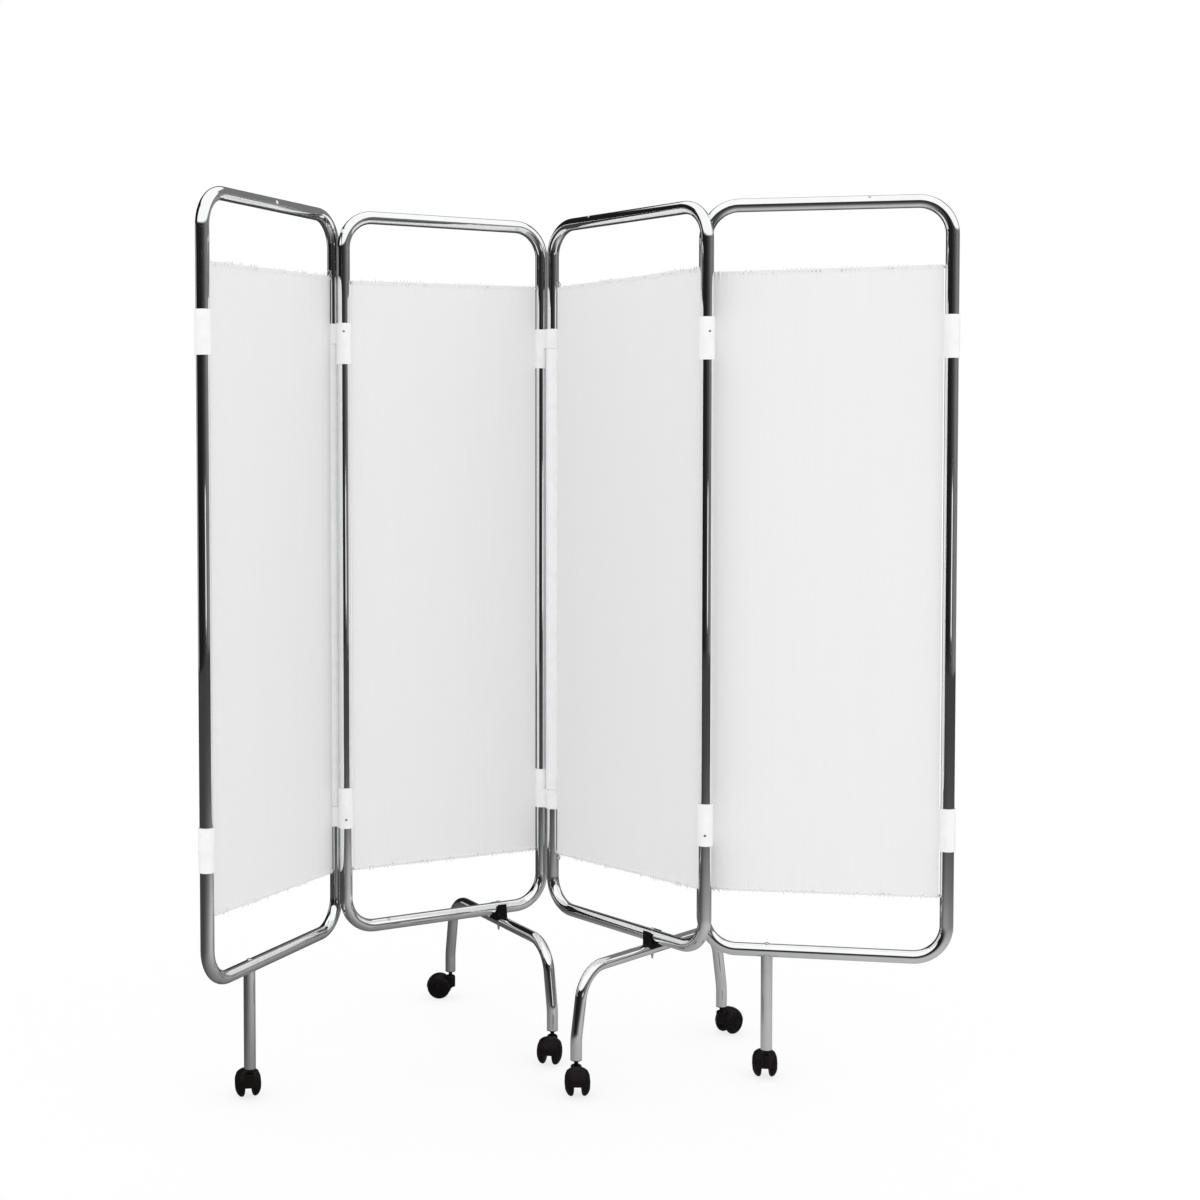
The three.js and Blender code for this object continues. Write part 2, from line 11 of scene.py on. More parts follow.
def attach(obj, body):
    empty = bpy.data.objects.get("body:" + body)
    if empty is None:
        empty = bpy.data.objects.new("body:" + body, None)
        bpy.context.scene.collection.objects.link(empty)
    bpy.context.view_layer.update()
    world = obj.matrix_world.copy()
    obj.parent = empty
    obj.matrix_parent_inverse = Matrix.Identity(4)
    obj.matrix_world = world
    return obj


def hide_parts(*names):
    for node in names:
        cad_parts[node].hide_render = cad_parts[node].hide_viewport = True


bl_info = {
    "name": "Ward privacy screen",
    "version": (1, 0, 0),
    "blender": (4, 5, 0),
    "location": "View3D > Sidebar > Ward screen",
    "description": "Chromed tube frames with gathered curtains, hinged by white clips, on legs with castors",
    "category": "Add Mesh",
}

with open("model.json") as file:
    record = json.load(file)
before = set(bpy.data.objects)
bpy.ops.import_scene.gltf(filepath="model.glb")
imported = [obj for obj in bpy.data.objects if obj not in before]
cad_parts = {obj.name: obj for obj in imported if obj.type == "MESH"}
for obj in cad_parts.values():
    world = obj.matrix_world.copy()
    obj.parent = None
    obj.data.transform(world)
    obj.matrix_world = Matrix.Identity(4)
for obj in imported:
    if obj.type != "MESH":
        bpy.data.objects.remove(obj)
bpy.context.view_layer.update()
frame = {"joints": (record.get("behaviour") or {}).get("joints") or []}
JOINTS = {joint["name"]: joint for joint in frame["joints"]}

# The screen's sizes, in metres, as the solids have them. Angles are in degrees
PANEL_WIDTH = 0.450
RAIL_LOW = 0.250
RAIL_HIGH = 1.655
POST_PITCH = 0.031
FRAME_TOP = 1.6675
FRAME_BOTTOM = 0.2375
SLEEVE_BORE = 0.0131
SLEEVE_LENGTH = 0.080
KNUCKLE_LENGTH = 0.040
SPACER_RADIUS = 0.0143
TOP_SLEEVE_TOP = FRAME_TOP - 0.221
BOTTOM_SLEEVE_LOW = FRAME_BOTTOM + 0.215
WIRE_RADIUS = 0.0015
CURTAIN_START = 0.0150
WIRE_TO_EDGE = 0.0042
LEG_WALL = 0.0015
BAR_HEIGHT = 0.225
TUBE_END = 0.060
FOOT_REACH = 0.228
LEG_SPLAY = 10.0
ANKLE_RISE = 0.038
SEAT_GAP = 0.0003
HOOD_SWEEP = (-2.0, 185.0)
WHEEL_INNER = 0.0078
YARN_SPACING = 0.0011

# How the panels stand: their turns in plan, in degrees, and the turn of each pair of clips
PANEL_TURNS = {1: 63.4, 2: 28.4, 3: -53.2, 4: -10.5}
CLIP_TURNS = {"1_2": 133.0, "2_3": -42.5, "3_4": 88.0}
STRAIGHT_LEGS = {1: 0.134, 4: 0.120}
CROSS_LEGS = {2: (0.347, -2.0), 3: (0.305, 9.0)}
# The heights of each curtain's edges: at the top left and right, and at the bottom left and right
CURTAIN_EDGES = {
    1: (1.5315, 1.5395, 0.3690, 0.3595),
    2: (1.5300, 1.5350, 0.3660, 0.3615),
    3: (1.5315, 1.5390, 0.3580, 0.3660),
    4: (1.5320, 1.5380, 0.3610, 0.3640),
}
# The screw eyes that stand clear of the cloth, by panel, level, and way in from the post
CLEAR_EYES = {(1, "top", -1), (3, "top", 1), (3, "bottom", 1)}
# The rivet at each ring's joint: its place along its rail, the rail's height and its lean from level
RIVETS = {
    1: (0.226, RAIL_HIGH, 14),
    2: (0.090, RAIL_LOW, 55),
    3: (0.120, RAIL_HIGH, 50),
    4: (0.300, RAIL_HIGH, 50),
}
# The radius, height and depth of each kind of head, and how far it sinks into what it holds
RIVET_HEAD, RIVET_SINK = (0.0034, 0.0013, 0.003), 0.0002
CLIP_SCREW, CLIP_SCREW_SINK = (0.0027, 0.0009, 0.0012), 0.0003
LEG_SCREW, LEG_SCREW_SINK = (0.0052, 0.0024, 0.004), 0.0003
CASTORS = {"1": 1, "2_back": 2, "2_front": 2, "3_back": 3, "3_front": 3, "4": 4}

ALONG, ACROSS, UP = np.eye(3)
FULL_TURN = 2 * math.pi
WHITE = (1.0, 1.0, 1.0)

# A grid of points: wrap_rows joins its last row to its first, wrap_columns its last column to its first
Grid = namedtuple("Grid", "points wrap_rows wrap_columns slot uv", defaults=(False, False, 0, None))


def length_setting(name, description, default):
    return bpy.props.FloatProperty(name=name, description=description, default=default, unit="LENGTH")


def colour_setting(name, description, default):
    return bpy.props.FloatVectorProperty(name=name, description=description, default=default, subtype="COLOR")


class FrameSizes(bpy.types.PropertyGroup):
    """The chromed tubes of the frames and the legs."""

    tube: length_setting("Frame tube", "Diameter of the frames' round tube", 0.025)
    corner: length_setting("Corner radius", "Bend radius at a frame's corners, on the centre line", 0.062)
    leg_tube: length_setting("Leg tube", "Diameter of the legs' round tube", 0.022)
    leg_bend: length_setting("Leg bend", "Bend radius at a cross leg's shoulders", 0.065)
    ankle_bend: length_setting("Ankle bend", "Bend radius just above a cross leg's feet", 0.120)
    chrome: colour_setting("Chrome", "Colour of the chrome plating", (0.93, 0.935, 0.94))


class ClipSizes(bpy.types.PropertyGroup):
    """The white plastic clips and sleeves on the posts."""

    sleeve: length_setting("Sleeve radius", "Outer radius of the clips' sleeves", 0.0146)
    fillet: length_setting("Web fillet", "Radius of the hollow between a clip's two sleeves", 0.008)
    edge: length_setting("Edge rounding", "Rounding of the moulded edges", 0.0007)
    plastic: colour_setting("Clip plastic", "Colour of the white plastic", (0.92, 0.92, 0.93))


class CurtainSizes(bpy.types.PropertyGroup):
    """The gathered curtains."""

    cloth: length_setting("Cloth thickness", "Thickness of the cloth", 0.0007)
    fold: length_setting("Fold depth", "How deep the long upright folds are", 0.00018)
    gather: length_setting("Gather depth", "How deep the short gathers at the casings are", 0.0013)
    fray: length_setting("Fray depth", "How far the raw edge stands out and in", 0.0062)
    threads: bpy.props.IntProperty(
        name="Loose threads", description="Loose threads along each edge", default=16)
    colour: colour_setting("Cloth", "Colour of the curtain cloth", (0.83, 0.83, 0.83))


class CastorSizes(bpy.types.PropertyGroup):
    """The twin-wheel castors."""

    wheel: length_setting("Wheel radius", "Radius of a castor wheel", 0.025)
    trail: length_setting("Trail", "How far the axle lies from the swivel pin", 0.024)
    hood_top: length_setting("Hood height", "Height of the hood's flat top over the floor", 0.0500)
    black: colour_setting("Castor plastic", "Colour of the black plastic", (0.0062, 0.0050, 0.0046))


class StudioSettings(bpy.types.PropertyGroup):
    """The floor, the light and the camera."""

    ambient: bpy.props.FloatProperty(
        name="Room light", description="Strength of the even light from all round", default=1.04)
    key_power: bpy.props.FloatProperty(
        name="Key lamp", description="Power of the large soft lamp on the right", default=9.0, unit="POWER")
    fill_power: bpy.props.FloatProperty(
        name="Fill lamp", description="Power of the large soft lamp on the left", default=4.0, unit="POWER")
    floor: colour_setting("Floor", "Colour of the plain floor", (0.96, 0.96, 0.96))
    lens: bpy.props.FloatProperty(
        name="Lens", description="Focal length of the camera, in millimetres", default=55.154)


# ---- shapes


def unit_of(turn):
    """The plan direction at a turn, in degrees, from the X axis."""
    angle = math.radians(turn)
    return np.array([math.cos(angle), math.sin(angle), 0.0])


class Place:
    """A place on the floor with a direction along and one across. Local points are (along, across, up)."""

    def __init__(self, origin, turn):
        self.origin = np.array([origin[0], origin[1], 0.0])
        self.turn = turn
        self.along = unit_of(turn)
        self.across = unit_of(turn + 90)

    def points(self, local):
        return (self.origin + local[..., 0:1] * self.along + local[..., 1:2] * self.across
                + local[..., 2:3] * UP)

    def shifted(self, along, across=0.0, turn=0.0):
        moved = self.origin + along * self.along + across * self.across
        return Place(moved, self.turn + turn)

    def grid(self, grid):
        return grid._replace(points=self.points(grid.points))

    def grids(self, grids):
        return [self.grid(grid) for grid in grids]


def panel_places():
    """Each panel's place, at its left post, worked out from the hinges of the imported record."""
    hinge = {name: np.array(JOINTS[name]["pos_m"]) for name in ("hinge_1_2", "hinge_2_3", "hinge_3_4")}
    left = {
        1: hinge["hinge_1_2"] - PANEL_WIDTH * unit_of(PANEL_TURNS[1]),
        2: hinge["hinge_1_2"] - POST_PITCH * unit_of(CLIP_TURNS["1_2"]),
        3: hinge["hinge_2_3"],
        4: hinge["hinge_3_4"] + POST_PITCH * unit_of(CLIP_TURNS["3_4"]),
    }
    return {number: Place(post, PANEL_TURNS[number]) for number, post in left.items()}


PANELS = panel_places()


def rounded_path(corners, radii, steps, closed=False):
    """Straight runs joined by round bends. A bend is start + radius * (sin t * into + (1 - cos t) * inward),
    with t from nothing to the whole bend, and its direction is cos t * into + sin t * inward."""
    corners = np.asarray(corners, float)
    count = len(corners)
    radii = np.broadcast_to(np.asarray(radii, float), (count,))
    points, directions = [], []
    for index in range(count):
        if not closed and index in (0, count - 1):
            run = corners[1] - corners[0] if index == 0 else corners[-1] - corners[-2]
            points.append(corners[index][None])
            directions.append((run / np.linalg.norm(run))[None])
            continue
        into = corners[index] - corners[index - 1]
        out = corners[(index + 1) % count] - corners[index]
        into, out = into / np.linalg.norm(into), out / np.linalg.norm(out)
        bend = math.acos(np.clip(into @ out, -1, 1))
        inward = out - into * math.cos(bend)
        inward = inward / np.linalg.norm(inward)
        start = corners[index] - into * radii[index] * math.tan(bend / 2)
        turned = np.linspace(0, bend, steps + 1)[:, None]
        points.append(start + radii[index] * (np.sin(turned) * into + (1 - np.cos(turned)) * inward))
        directions.append(np.cos(turned) * into + np.sin(turned) * inward)
    return np.concatenate(points), np.concatenate(directions)


def tube(centres, directions, side, radius, sides):
    """Round tube: centre + radius * (cos a * side + sin a * (direction x side)), a row for each station."""
    angle = np.linspace(0, FULL_TURN, sides, endpoint=False)[None, :, None]
    lift = np.cross(directions, side)[:, None, :]
    radius = np.reshape(radius, (-1, 1, 1))
    return centres[:, None, :] + radius * (np.cos(angle) * side + np.sin(angle) * lift)


def turned(profile, sides):
    """A profile of (radius, height) pairs carried round the upright axis: (r cos a, r sin a, h)."""
    profile = np.asarray(profile, float)
    angle = np.linspace(0, FULL_TURN, sides, endpoint=False)
    radius, height = profile[:, 0:1], profile[:, 1:2]
    return np.stack([radius * np.cos(angle), radius * np.sin(angle), height + 0 * angle], axis=-1)


def lathe(profile, sides, slot=0):
    """A turned shape, as a grid."""
    return Grid(turned(profile, sides), wrap_columns=True, slot=slot)


def on_axle(profile, sides, sizes, side=1):
    """A turned shape laid on a castor's axle: its height runs across, to the given side."""
    points = turned(profile, sides)
    laid = np.stack([points[..., 0], side * points[..., 2], points[..., 1]], axis=-1)
    return Grid(laid + sizes.trail * ALONG + sizes.wheel * UP, wrap_columns=True)


def shell(outer, inner):
    """A closed shell: an outer and an inner sheet alike, with strips that join their four borders."""
    grids = [Grid(outer), Grid(inner)]
    for edge in (0, -1):
        grids.append(Grid(np.stack([outer[edge], inner[edge]])))
        grids.append(Grid(np.stack([outer[:, edge], inner[:, edge]])))
    return grids


def sleeve_grid(radius, low, high, edge):
    """A sleeve with rounded edges: its wall's section is carried round the post."""
    section, _ = rounded_path([(SLEEVE_BORE, low), (radius, low), (radius, high), (SLEEVE_BORE, high)],
                              [edge / 3, edge, edge, edge / 3], 4, closed=True)
    return Grid(turned(section, 48), wrap_rows=True, wrap_columns=True)


def grid_faces(grid, start):
    """The four corners of each face of a grid, as indexes counted from start."""
    rows, columns = grid.points.shape[:2]
    row, column = np.meshgrid(np.arange(rows if grid.wrap_rows else rows - 1),
                              np.arange(columns if grid.wrap_columns else columns - 1), indexing="ij")
    next_row, next_column = (row + 1) % rows, (column + 1) % columns
    corners = [(row, column), (row, next_column), (next_row, next_column), (next_row, column)]
    faces = np.stack([r * columns + c for r, c in corners], axis=-1).reshape(-1, 4)
    return faces + start


def mesh_object(name, grids, materials, sharp=35.0, solid=True):
    """One object from grids: doubles are merged, so that poles and seams close, and faces point outwards."""
    starts = np.cumsum([0] + [g.points.shape[0] * g.points.shape[1] for g in grids])
    points = np.concatenate([g.points.reshape(-1, 3) for g in grids])
    faces = [grid_faces(g, start) for g, start in zip(grids, starts)]
    slots = np.concatenate([np.full(len(f), g.slot) for f, g in zip(faces, grids)])
    mesh = bpy.data.meshes.new(name)
    mesh.from_pydata(points, [], np.concatenate(faces))
    for material in materials:
        mesh.materials.append(material)
    mesh.polygons.foreach_set("material_index", slots.astype(np.int32))
    if grids[0].uv is not None:
        layer = mesh.uv_layers.new(name="UVMap")
        flat = np.concatenate([g.uv.reshape(-1, 2) for g in grids])
        corner_uv = flat[np.concatenate(faces).ravel()]
        layer.data.foreach_set("uv", corner_uv.ravel())
    edit = bmesh.new()
    edit.from_mesh(mesh)
    bmesh.ops.remove_doubles(edit, verts=edit.verts, dist=1e-6)
    bmesh.ops.dissolve_degenerate(edit, edges=edit.edges, dist=1e-7)
    if solid:
        bmesh.ops.recalc_face_normals(edit, faces=edit.faces)
    edit.to_mesh(mesh)
    edit.free()
    mesh.shade_smooth()
    mesh.set_sharp_from_angle(angle=math.radians(sharp))
    made = bpy.data.objects.new(name, mesh)
    bpy.context.scene.collection.objects.link(made)
    return made


# ---- materials


def operation(kind, swapped=False):
    """A method that adds one Math node, for a value and what it is used with."""
    def method(self, *others):
        return self.math(kind, *((*others, self) if swapped else (self, *others)))

    return method


class Value:
    """A number that varies over a surface. Sums, products and powers of it add their Math nodes."""

    def __init__(self, finish, socket):
        self.finish, self.socket = finish, socket

    def math(self, kind, *values, clamp=False):
        settings = {"operation": kind, "use_clamp": clamp}
        node = self.finish.node("ShaderNodeMath", settings, dict(enumerate(values)))
        return Value(self.finish, node.outputs[0])

    __add__ = __radd__ = operation("ADD")
    __mul__ = __rmul__ = operation("MULTIPLY")
    __sub__, __rsub__ = operation("SUBTRACT"), operation("SUBTRACT", swapped=True)
    __truediv__, __pow__ = operation("DIVIDE"), operation("POWER")
    sine, fraction = operation("SINE"), operation("FRACT")
    angle_from, larger = operation("ARCTAN2"), operation("MAXIMUM")

    def clamped(self):
        return self.math("ADD", self, 0.0, clamp=True)

    def between(self, low, high):
        """Nothing below low, one above high, and smooth in between."""
        node = self.finish.node("ShaderNodeMapRange", {"interpolation_type": "SMOOTHSTEP"},
                                {"Value": self, "From Min": low, "From Max": high})
        return Value(self.finish, node.outputs["Result"])


class Nodes:
    """A node tree, filled from empty."""

    def __init__(self, tree):
        self.tree = tree
        tree.nodes.clear()

    def node(self, kind, settings=None, sockets=None):
        """Makes a node: its settings are set first, then the values or links of its sockets."""
        made = self.tree.nodes.new(kind)
        for name, value in (settings or {}).items():
            if name == "stops":
                while len(made.color_ramp.elements) > 1:
                    made.color_ramp.elements.remove(made.color_ramp.elements[-1])
                made.color_ramp.elements[0].position = value[0][0]
                made.color_ramp.elements[0].color = value[0][1]
                for place, colour in value[1:]:
                    made.color_ramp.elements.new(place).color = colour
            else:
                setattr(made, name, value)
        for name, value in (sockets or {}).items():
            self.join(made.inputs[name], value)
        return made

    def join(self, socket, value):
        if isinstance(value, Value):
            value = value.socket
        if isinstance(value, bpy.types.NodeSocket):
            self.tree.links.new(value, socket)
        elif socket.type == "RGBA" and len(value) == 3:
            socket.default_value = (*value, 1.0)
        else:
            socket.default_value = value

    def value(self, socket):
        return Value(self, socket)

    def split(self, vector):
        return [self.value(part) for part in self.node("ShaderNodeSeparateXYZ", None, {0: vector}).outputs]

    def shaders_mixed(self, share, first, second):
        """A shader between two, by a share from nothing to one."""
        return self.node("ShaderNodeMixShader", None, {0: share, 1: first.outputs[0], 2: second.outputs[0]})


class Finish(Nodes):
    """A material and its nodes."""

    def __init__(self, name):
        self.material = bpy.data.materials.new(name)
        self.material.use_nodes = True
        super().__init__(self.material.node_tree)
        self.output = self.node("ShaderNodeOutputMaterial")

    def coordinates(self, kind="Object"):
        return self.node("ShaderNodeTexCoord").outputs[kind]

    def stretched(self, vector, scale, turn=(0.0, 0.0, 0.0)):
        """The coordinates turned and then scaled, so that a pattern runs long in one direction."""
        return self.node("ShaderNodeMapping", None,
                         {"Vector": vector, "Rotation": turn, "Scale": scale}).outputs[0]

    def noise(self, vector, scale, detail=2.0, roughness=0.5):
        made = self.node("ShaderNodeTexNoise", {"noise_dimensions": "3D"},
                         {"Vector": vector, "Scale": scale, "Detail": detail, "Roughness": roughness})
        return self.value(made.outputs["Fac"])

    def mixed(self, share, first, second):
        """A colour between two, by a share from nothing to one."""
        made = self.node("ShaderNodeMix", {"data_type": "RGBA"})
        self.join(made.inputs[0], share)
        self.join(made.inputs[6], first)
        self.join(made.inputs[7], second)
        return made.outputs[2]

    def raised(self, height, strength, distance):
        """The normal that a height pattern gives."""
        return self.node("ShaderNodeBump", None,
                         {"Height": height, "Strength": strength, "Distance": distance}).outputs[0]

    def made_of(self, shader):
        """Leads the shader to the output, and returns the material."""
        self.join(self.output.inputs["Surface"], shader.outputs[0])
        return self.material

    def surface(self, **sockets):
        named = {name.replace("_", " "): value for name, value in sockets.items()}
        return self.made_of(self.node("ShaderNodeBsdfPrincipled", None, named))


def scaled(colour, factor):
    return tuple(factor * part for part in colour)


def lifted(colour, amount):
    return tuple(part + amount for part in colour)


def chrome_finish(colour):
    """Polished chrome: faint smears in its gloss, a slow waviness from bending, and hairline scratches."""
    finish = Finish("polished_chrome")
    place = finish.coordinates()
    smears = finish.noise(place, 22.0, 4.0, 0.6)
    hair = finish.noise(finish.stretched(place, (900.0, 900.0, 60.0)), 1.0, 2.0)
    waves = finish.noise(place, 16.0, 1.0)
    tint = finish.mixed(smears.between(0.3, 0.8), colour, scaled(colour, 0.93))
    gloss = 0.035 + 0.075 * smears.between(0.45, 0.8) + 0.03 * hair.between(0.6, 0.8)
    normal = finish.raised(waves + 0.02 * hair, 0.35, 0.0006)
    return finish.surface(Base_Color=tint, Metallic=1.0, Roughness=gloss, Normal=normal)


def satin_steel_finish():
    """Bright drawn steel, for wires, eyes and screws."""
    finish = Finish("drawn_steel")
    place = finish.coordinates()
    grain = finish.noise(place, 700.0, 3.0)
    tint = finish.mixed(grain, (0.74, 0.75, 0.76), (0.60, 0.61, 0.62))
    return finish.surface(Base_Color=tint, Metallic=1.0, Roughness=0.16 + 0.16 * grain,
                          Normal=finish.raised(grain, 0.2, 0.0001))


def clip_plastic_finish(colour):
    """Moulded white plastic: a fine skin and slight cloudiness."""
    finish = Finish("white_clip_plastic")
    place = finish.coordinates()
    cloud = finish.noise(place, 45.0, 3.0)
    skin = finish.noise(place, 1400.0, 2.0)
    tint = finish.mixed(cloud.between(0.35, 0.75), colour, scaled(colour, 0.95))
    return finish.surface(Base_Color=tint, Roughness=0.33 + 0.16 * cloud, Specular_IOR_Level=0.45,
                          Normal=finish.raised(skin + cloud, 0.12, 0.0002))


def cloth_finish(colour):
    """Plain woven cotton: warp and weft ridges, uneven yarns that run up and across, and long soft shades."""
    finish = Finish("white_woven_cloth")
    place = finish.coordinates("UV")
    across, up, _ = finish.split(place)
    yarns = finish.noise(finish.stretched(place, (420.0, 9.0, 1.0)), 1.0, 2.0)
    picks = finish.noise(finish.stretched(place, (9.0, 380.0, 1.0)), 1.0, 2.0)
    drape = finish.noise(finish.stretched(place, (26.0, 1.6, 1.0)), 1.0, 2.0)
    pitch = FULL_TURN / YARN_SPACING
    weave = (across * pitch).sine() * (up * pitch).sine()
    relief = 0.5 * weave + 0.8 * yarns + 0.5 * picks
    shade = (0.55 * yarns + 0.25 * picks + 0.45 * drape).between(0.35, 0.95)
    tint = finish.mixed(shade, scaled(colour, 0.988), scaled(colour, 1.008))
    return finish.surface(Base_Color=tint, Roughness=0.92 - 0.08 * yarns, Specular_IOR_Level=0.15,
                          Normal=finish.raised(relief, 0.2, 0.0002))


def thread_finish(colour):
    """Loose cotton threads, as light as the cloth or a little greyer."""
    finish = Finish("cotton_thread")
    fuzz = finish.noise(finish.coordinates(), 220.0, 2.0)
    tint = finish.mixed(fuzz.between(0.35, 0.65), scaled(colour, 0.92), colour)
    return finish.surface(Base_Color=tint, Roughness=0.95, Specular_IOR_Level=0.1)


def castor_plastic_finish(colour):
    """Moulded black plastic: a fine grain, and dust that has settled in patches and dulls them."""
    finish = Finish("black_castor_plastic")
    place = finish.coordinates()
    grain = finish.noise(place, 1100.0, 2.0)
    dust = finish.noise(place, 70.0, 5.0, 0.65)
    tint = finish.mixed(dust.between(0.5, 0.9), colour, lifted(colour, 0.005))
    return finish.surface(Base_Color=tint, Roughness=0.34 + 0.16 * dust, Specular_IOR_Level=0.13,
                          Normal=finish.raised(grain + 0.5 * dust, 0.2, 0.0002))


def wheel_finish(colour):
    """A black nylon wheel, scuffed and dusty in patches."""
    finish = Finish("black_castor_wheel")
    place = finish.coordinates()
    scuff = finish.noise(place, 260.0, 4.0, 0.7)
    smooth = finish.noise(place, 60.0, 2.0)
    worn = scuff.between(0.4, 0.75)
    tint = finish.mixed(0.55 * worn, scaled(colour, 0.8), lifted(colour, 0.006))
    return finish.surface(Base_Color=tint, Roughness=0.42 + 0.14 * scuff + 0.06 * smooth,
                          Specular_IOR_Level=0.10, Normal=finish.raised(scuff, 0.25, 0.0002))


def saddle_finish(colour):
    """Black nylon saddles: a dull grained skin with rubbed, lighter patches."""
    finish = Finish("black_saddle_nylon")
    place = finish.coordinates()
    grain = finish.noise(place, 800.0, 3.0)
    rub = finish.noise(place, 120.0, 4.0)
    tint = finish.mixed(rub.between(0.55, 0.85), scaled(colour, 0.7), lifted(colour, 0.010))
    return finish.surface(Base_Color=tint, Roughness=0.5 + 0.2 * rub, Specular_IOR_Level=0.16,
                          Normal=finish.raised(grain, 0.2, 0.0002))


FINISHES = {}


def finishes():
    """All the finishes, made once."""
    if not FINISHES:
        scene = bpy.context.scene
        black = tuple(scene.ward_castors.black)
        cloth = tuple(scene.ward_curtains.colour)
        FINISHES.update(
            chrome=chrome_finish(tuple(scene.ward_frames.chrome)),
            steel=satin_steel_finish(),
            clip=clip_plastic_finish(tuple(scene.ward_clips.plastic)),
            cloth=cloth_finish(cloth),
            thread=thread_finish(cloth),
            castor=castor_plastic_finish(black),
            wheel=wheel_finish(black),
            saddle=saddle_finish(black),
        )
    return FINISHES


# ---- the pieces


def piece(name, grids, finish, body, nodes=(), sharp=35.0):
    """A finished piece: it rides on its body, stands for its nodes, and has its first finish's slot unless
    another is given."""
    names = finish.split()
    made = mesh_object(name, grids, [finishes()[each] for each in names], sharp)
    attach(made, body)
    if nodes:
        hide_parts(*nodes)
    return made


def frame_ring(sizes):
    """A frame's closed ring of tube, in its panel's own plane."""
    corners = [(0, RAIL_LOW), (PANEL_WIDTH, RAIL_LOW), (PANEL_WIDTH, RAIL_HIGH), (0, RAIL_HIGH)]
    path, directions = rounded_path(corners, sizes.corner, 16, closed=True)
    centres = np.stack([path[:, 0], 0 * path[:, 0], path[:, 1]], axis=-1)
    headings = np.stack([directions[:, 0], 0 * path[:, 0], directions[:, 1]], axis=-1)
    points = tube(centres, headings, ACROSS, sizes.tube / 2, 40)
    return Grid(points, wrap_rows=True, wrap_columns=True)


def screw_head(radius, height, depth):
    """A screw head on its shank, with its rim at nothing. Its dome is (radius * sin a, height * cos a)."""
    bow = np.linspace(0, math.pi / 2, 7)
    dome = [(radius * math.sin(a), height * math.cos(a)) for a in bow]
    under = [(radius * 0.95, -0.0001), (radius * 0.45, -0.0001), (radius * 0.45, -depth), (0.0, -depth)]
    return lathe([(0.0, height), *dome[1:], *under], 20)


def facing(grid, centre, outward, place):
    """An upright turned shape moved to a centre in its place, with its axis turned to point outward."""
    outward = np.asarray(outward, float) / np.linalg.norm(outward)
    side = np.cross(outward, UP) if abs(outward[2]) < 0.9 else ALONG
    side = side / np.linalg.norm(side)
    third = np.cross(outward, side)
    points = grid.points
    local = centre + points[..., 0:1] * side + points[..., 1:2] * third + points[..., 2:3] * outward
    return grid._replace(points=place.points(local))


class WARD_OT_frames(bpy.types.Operator):
    """Makes the four frames of chromed tube, with the rivet at each ring's joint"""

    bl_idname = "ward.frames"
    bl_label = "Frames"

    def execute(self, context):
        sizes = context.scene.ward_frames
        ring = frame_ring(sizes)
        for number, place in PANELS.items():
            body = f"panel_{number}"
            piece(f"chrome_frame_{number}", [place.grid(ring)], "chrome", body, [f"frame_{number}"])
            along, height, lean = RIVETS[number]
            lean = math.radians(lean)
            outward = math.sin(lean) * UP - math.cos(lean) * ACROSS
            centre = along * ALONG + height * UP + outward * (sizes.tube / 2 - RIVET_SINK)
            head = facing(screw_head(*RIVET_HEAD), centre, outward, place)
            # The first frame's rivet head takes the white clip plastic as a painted highlight
            piece(f"frame_rivet_{number}", [head], "clip" if number == 1 else "steel", body)
        return {"FINISHED"}


def web_grids(place, low, high, sizes):
    """The web between a clip's sleeves: its long sides are hollow arcs that touch both sleeves, and its ends
    follow their walls. A point is (s * (half_pitch - wall * cos(t b)), sin(t b) / sin b * half_width(s)),
    with b the spread and both s and t from -1 to 1."""
    half_pitch = POST_PITCH / 2
    reach = sizes.sleeve + sizes.fillet
    centre = math.sqrt(reach**2 - half_pitch**2)
    spread = math.atan2(centre, half_pitch)
    wall = (sizes.sleeve + SLEEVE_BORE) / 2
    s, t = np.meshgrid(np.linspace(-1, 1, 25), np.linspace(-1, 1, 13), indexing="ij")
    touch = half_pitch - sizes.sleeve * math.cos(spread)
    half_width = centre - np.sqrt(sizes.fillet**2 - (s * touch) ** 2)
    along = s * (half_pitch - wall * np.cos(t * spread))
    across = np.sin(t * spread) / math.sin(spread) * half_width
    flat = np.stack([along + half_pitch, across, 0 * along], axis=-1)
    return place.grids(shell(flat + high * UP, flat + low * UP))


def clip_piece(name, sleeve_place, turn, sleeve_low, knuckle_low, body, sizes):
    """A hinge clip: the sleeve, the knuckle a pitch away from it at the turn, and the web between them."""
    at = Place(sleeve_place.origin, turn)
    knuckle_high = knuckle_low + KNUCKLE_LENGTH
    grids = [
        at.grid(sleeve_grid(sizes.sleeve, sleeve_low, sleeve_low + SLEEVE_LENGTH, sizes.edge)),
        at.shifted(POST_PITCH).grid(sleeve_grid(sizes.sleeve, knuckle_low, knuckle_high, sizes.edge)),
        *web_grids(at, knuckle_low + sizes.edge, knuckle_high - sizes.edge, sizes),
    ]
    piece(f"white_{name}", grids, "clip", body, [name])


def post(number, side):
    """The place of a panel's left or right post."""
    return PANELS[number].shifted(PANEL_WIDTH if side == "right" else 0.0)


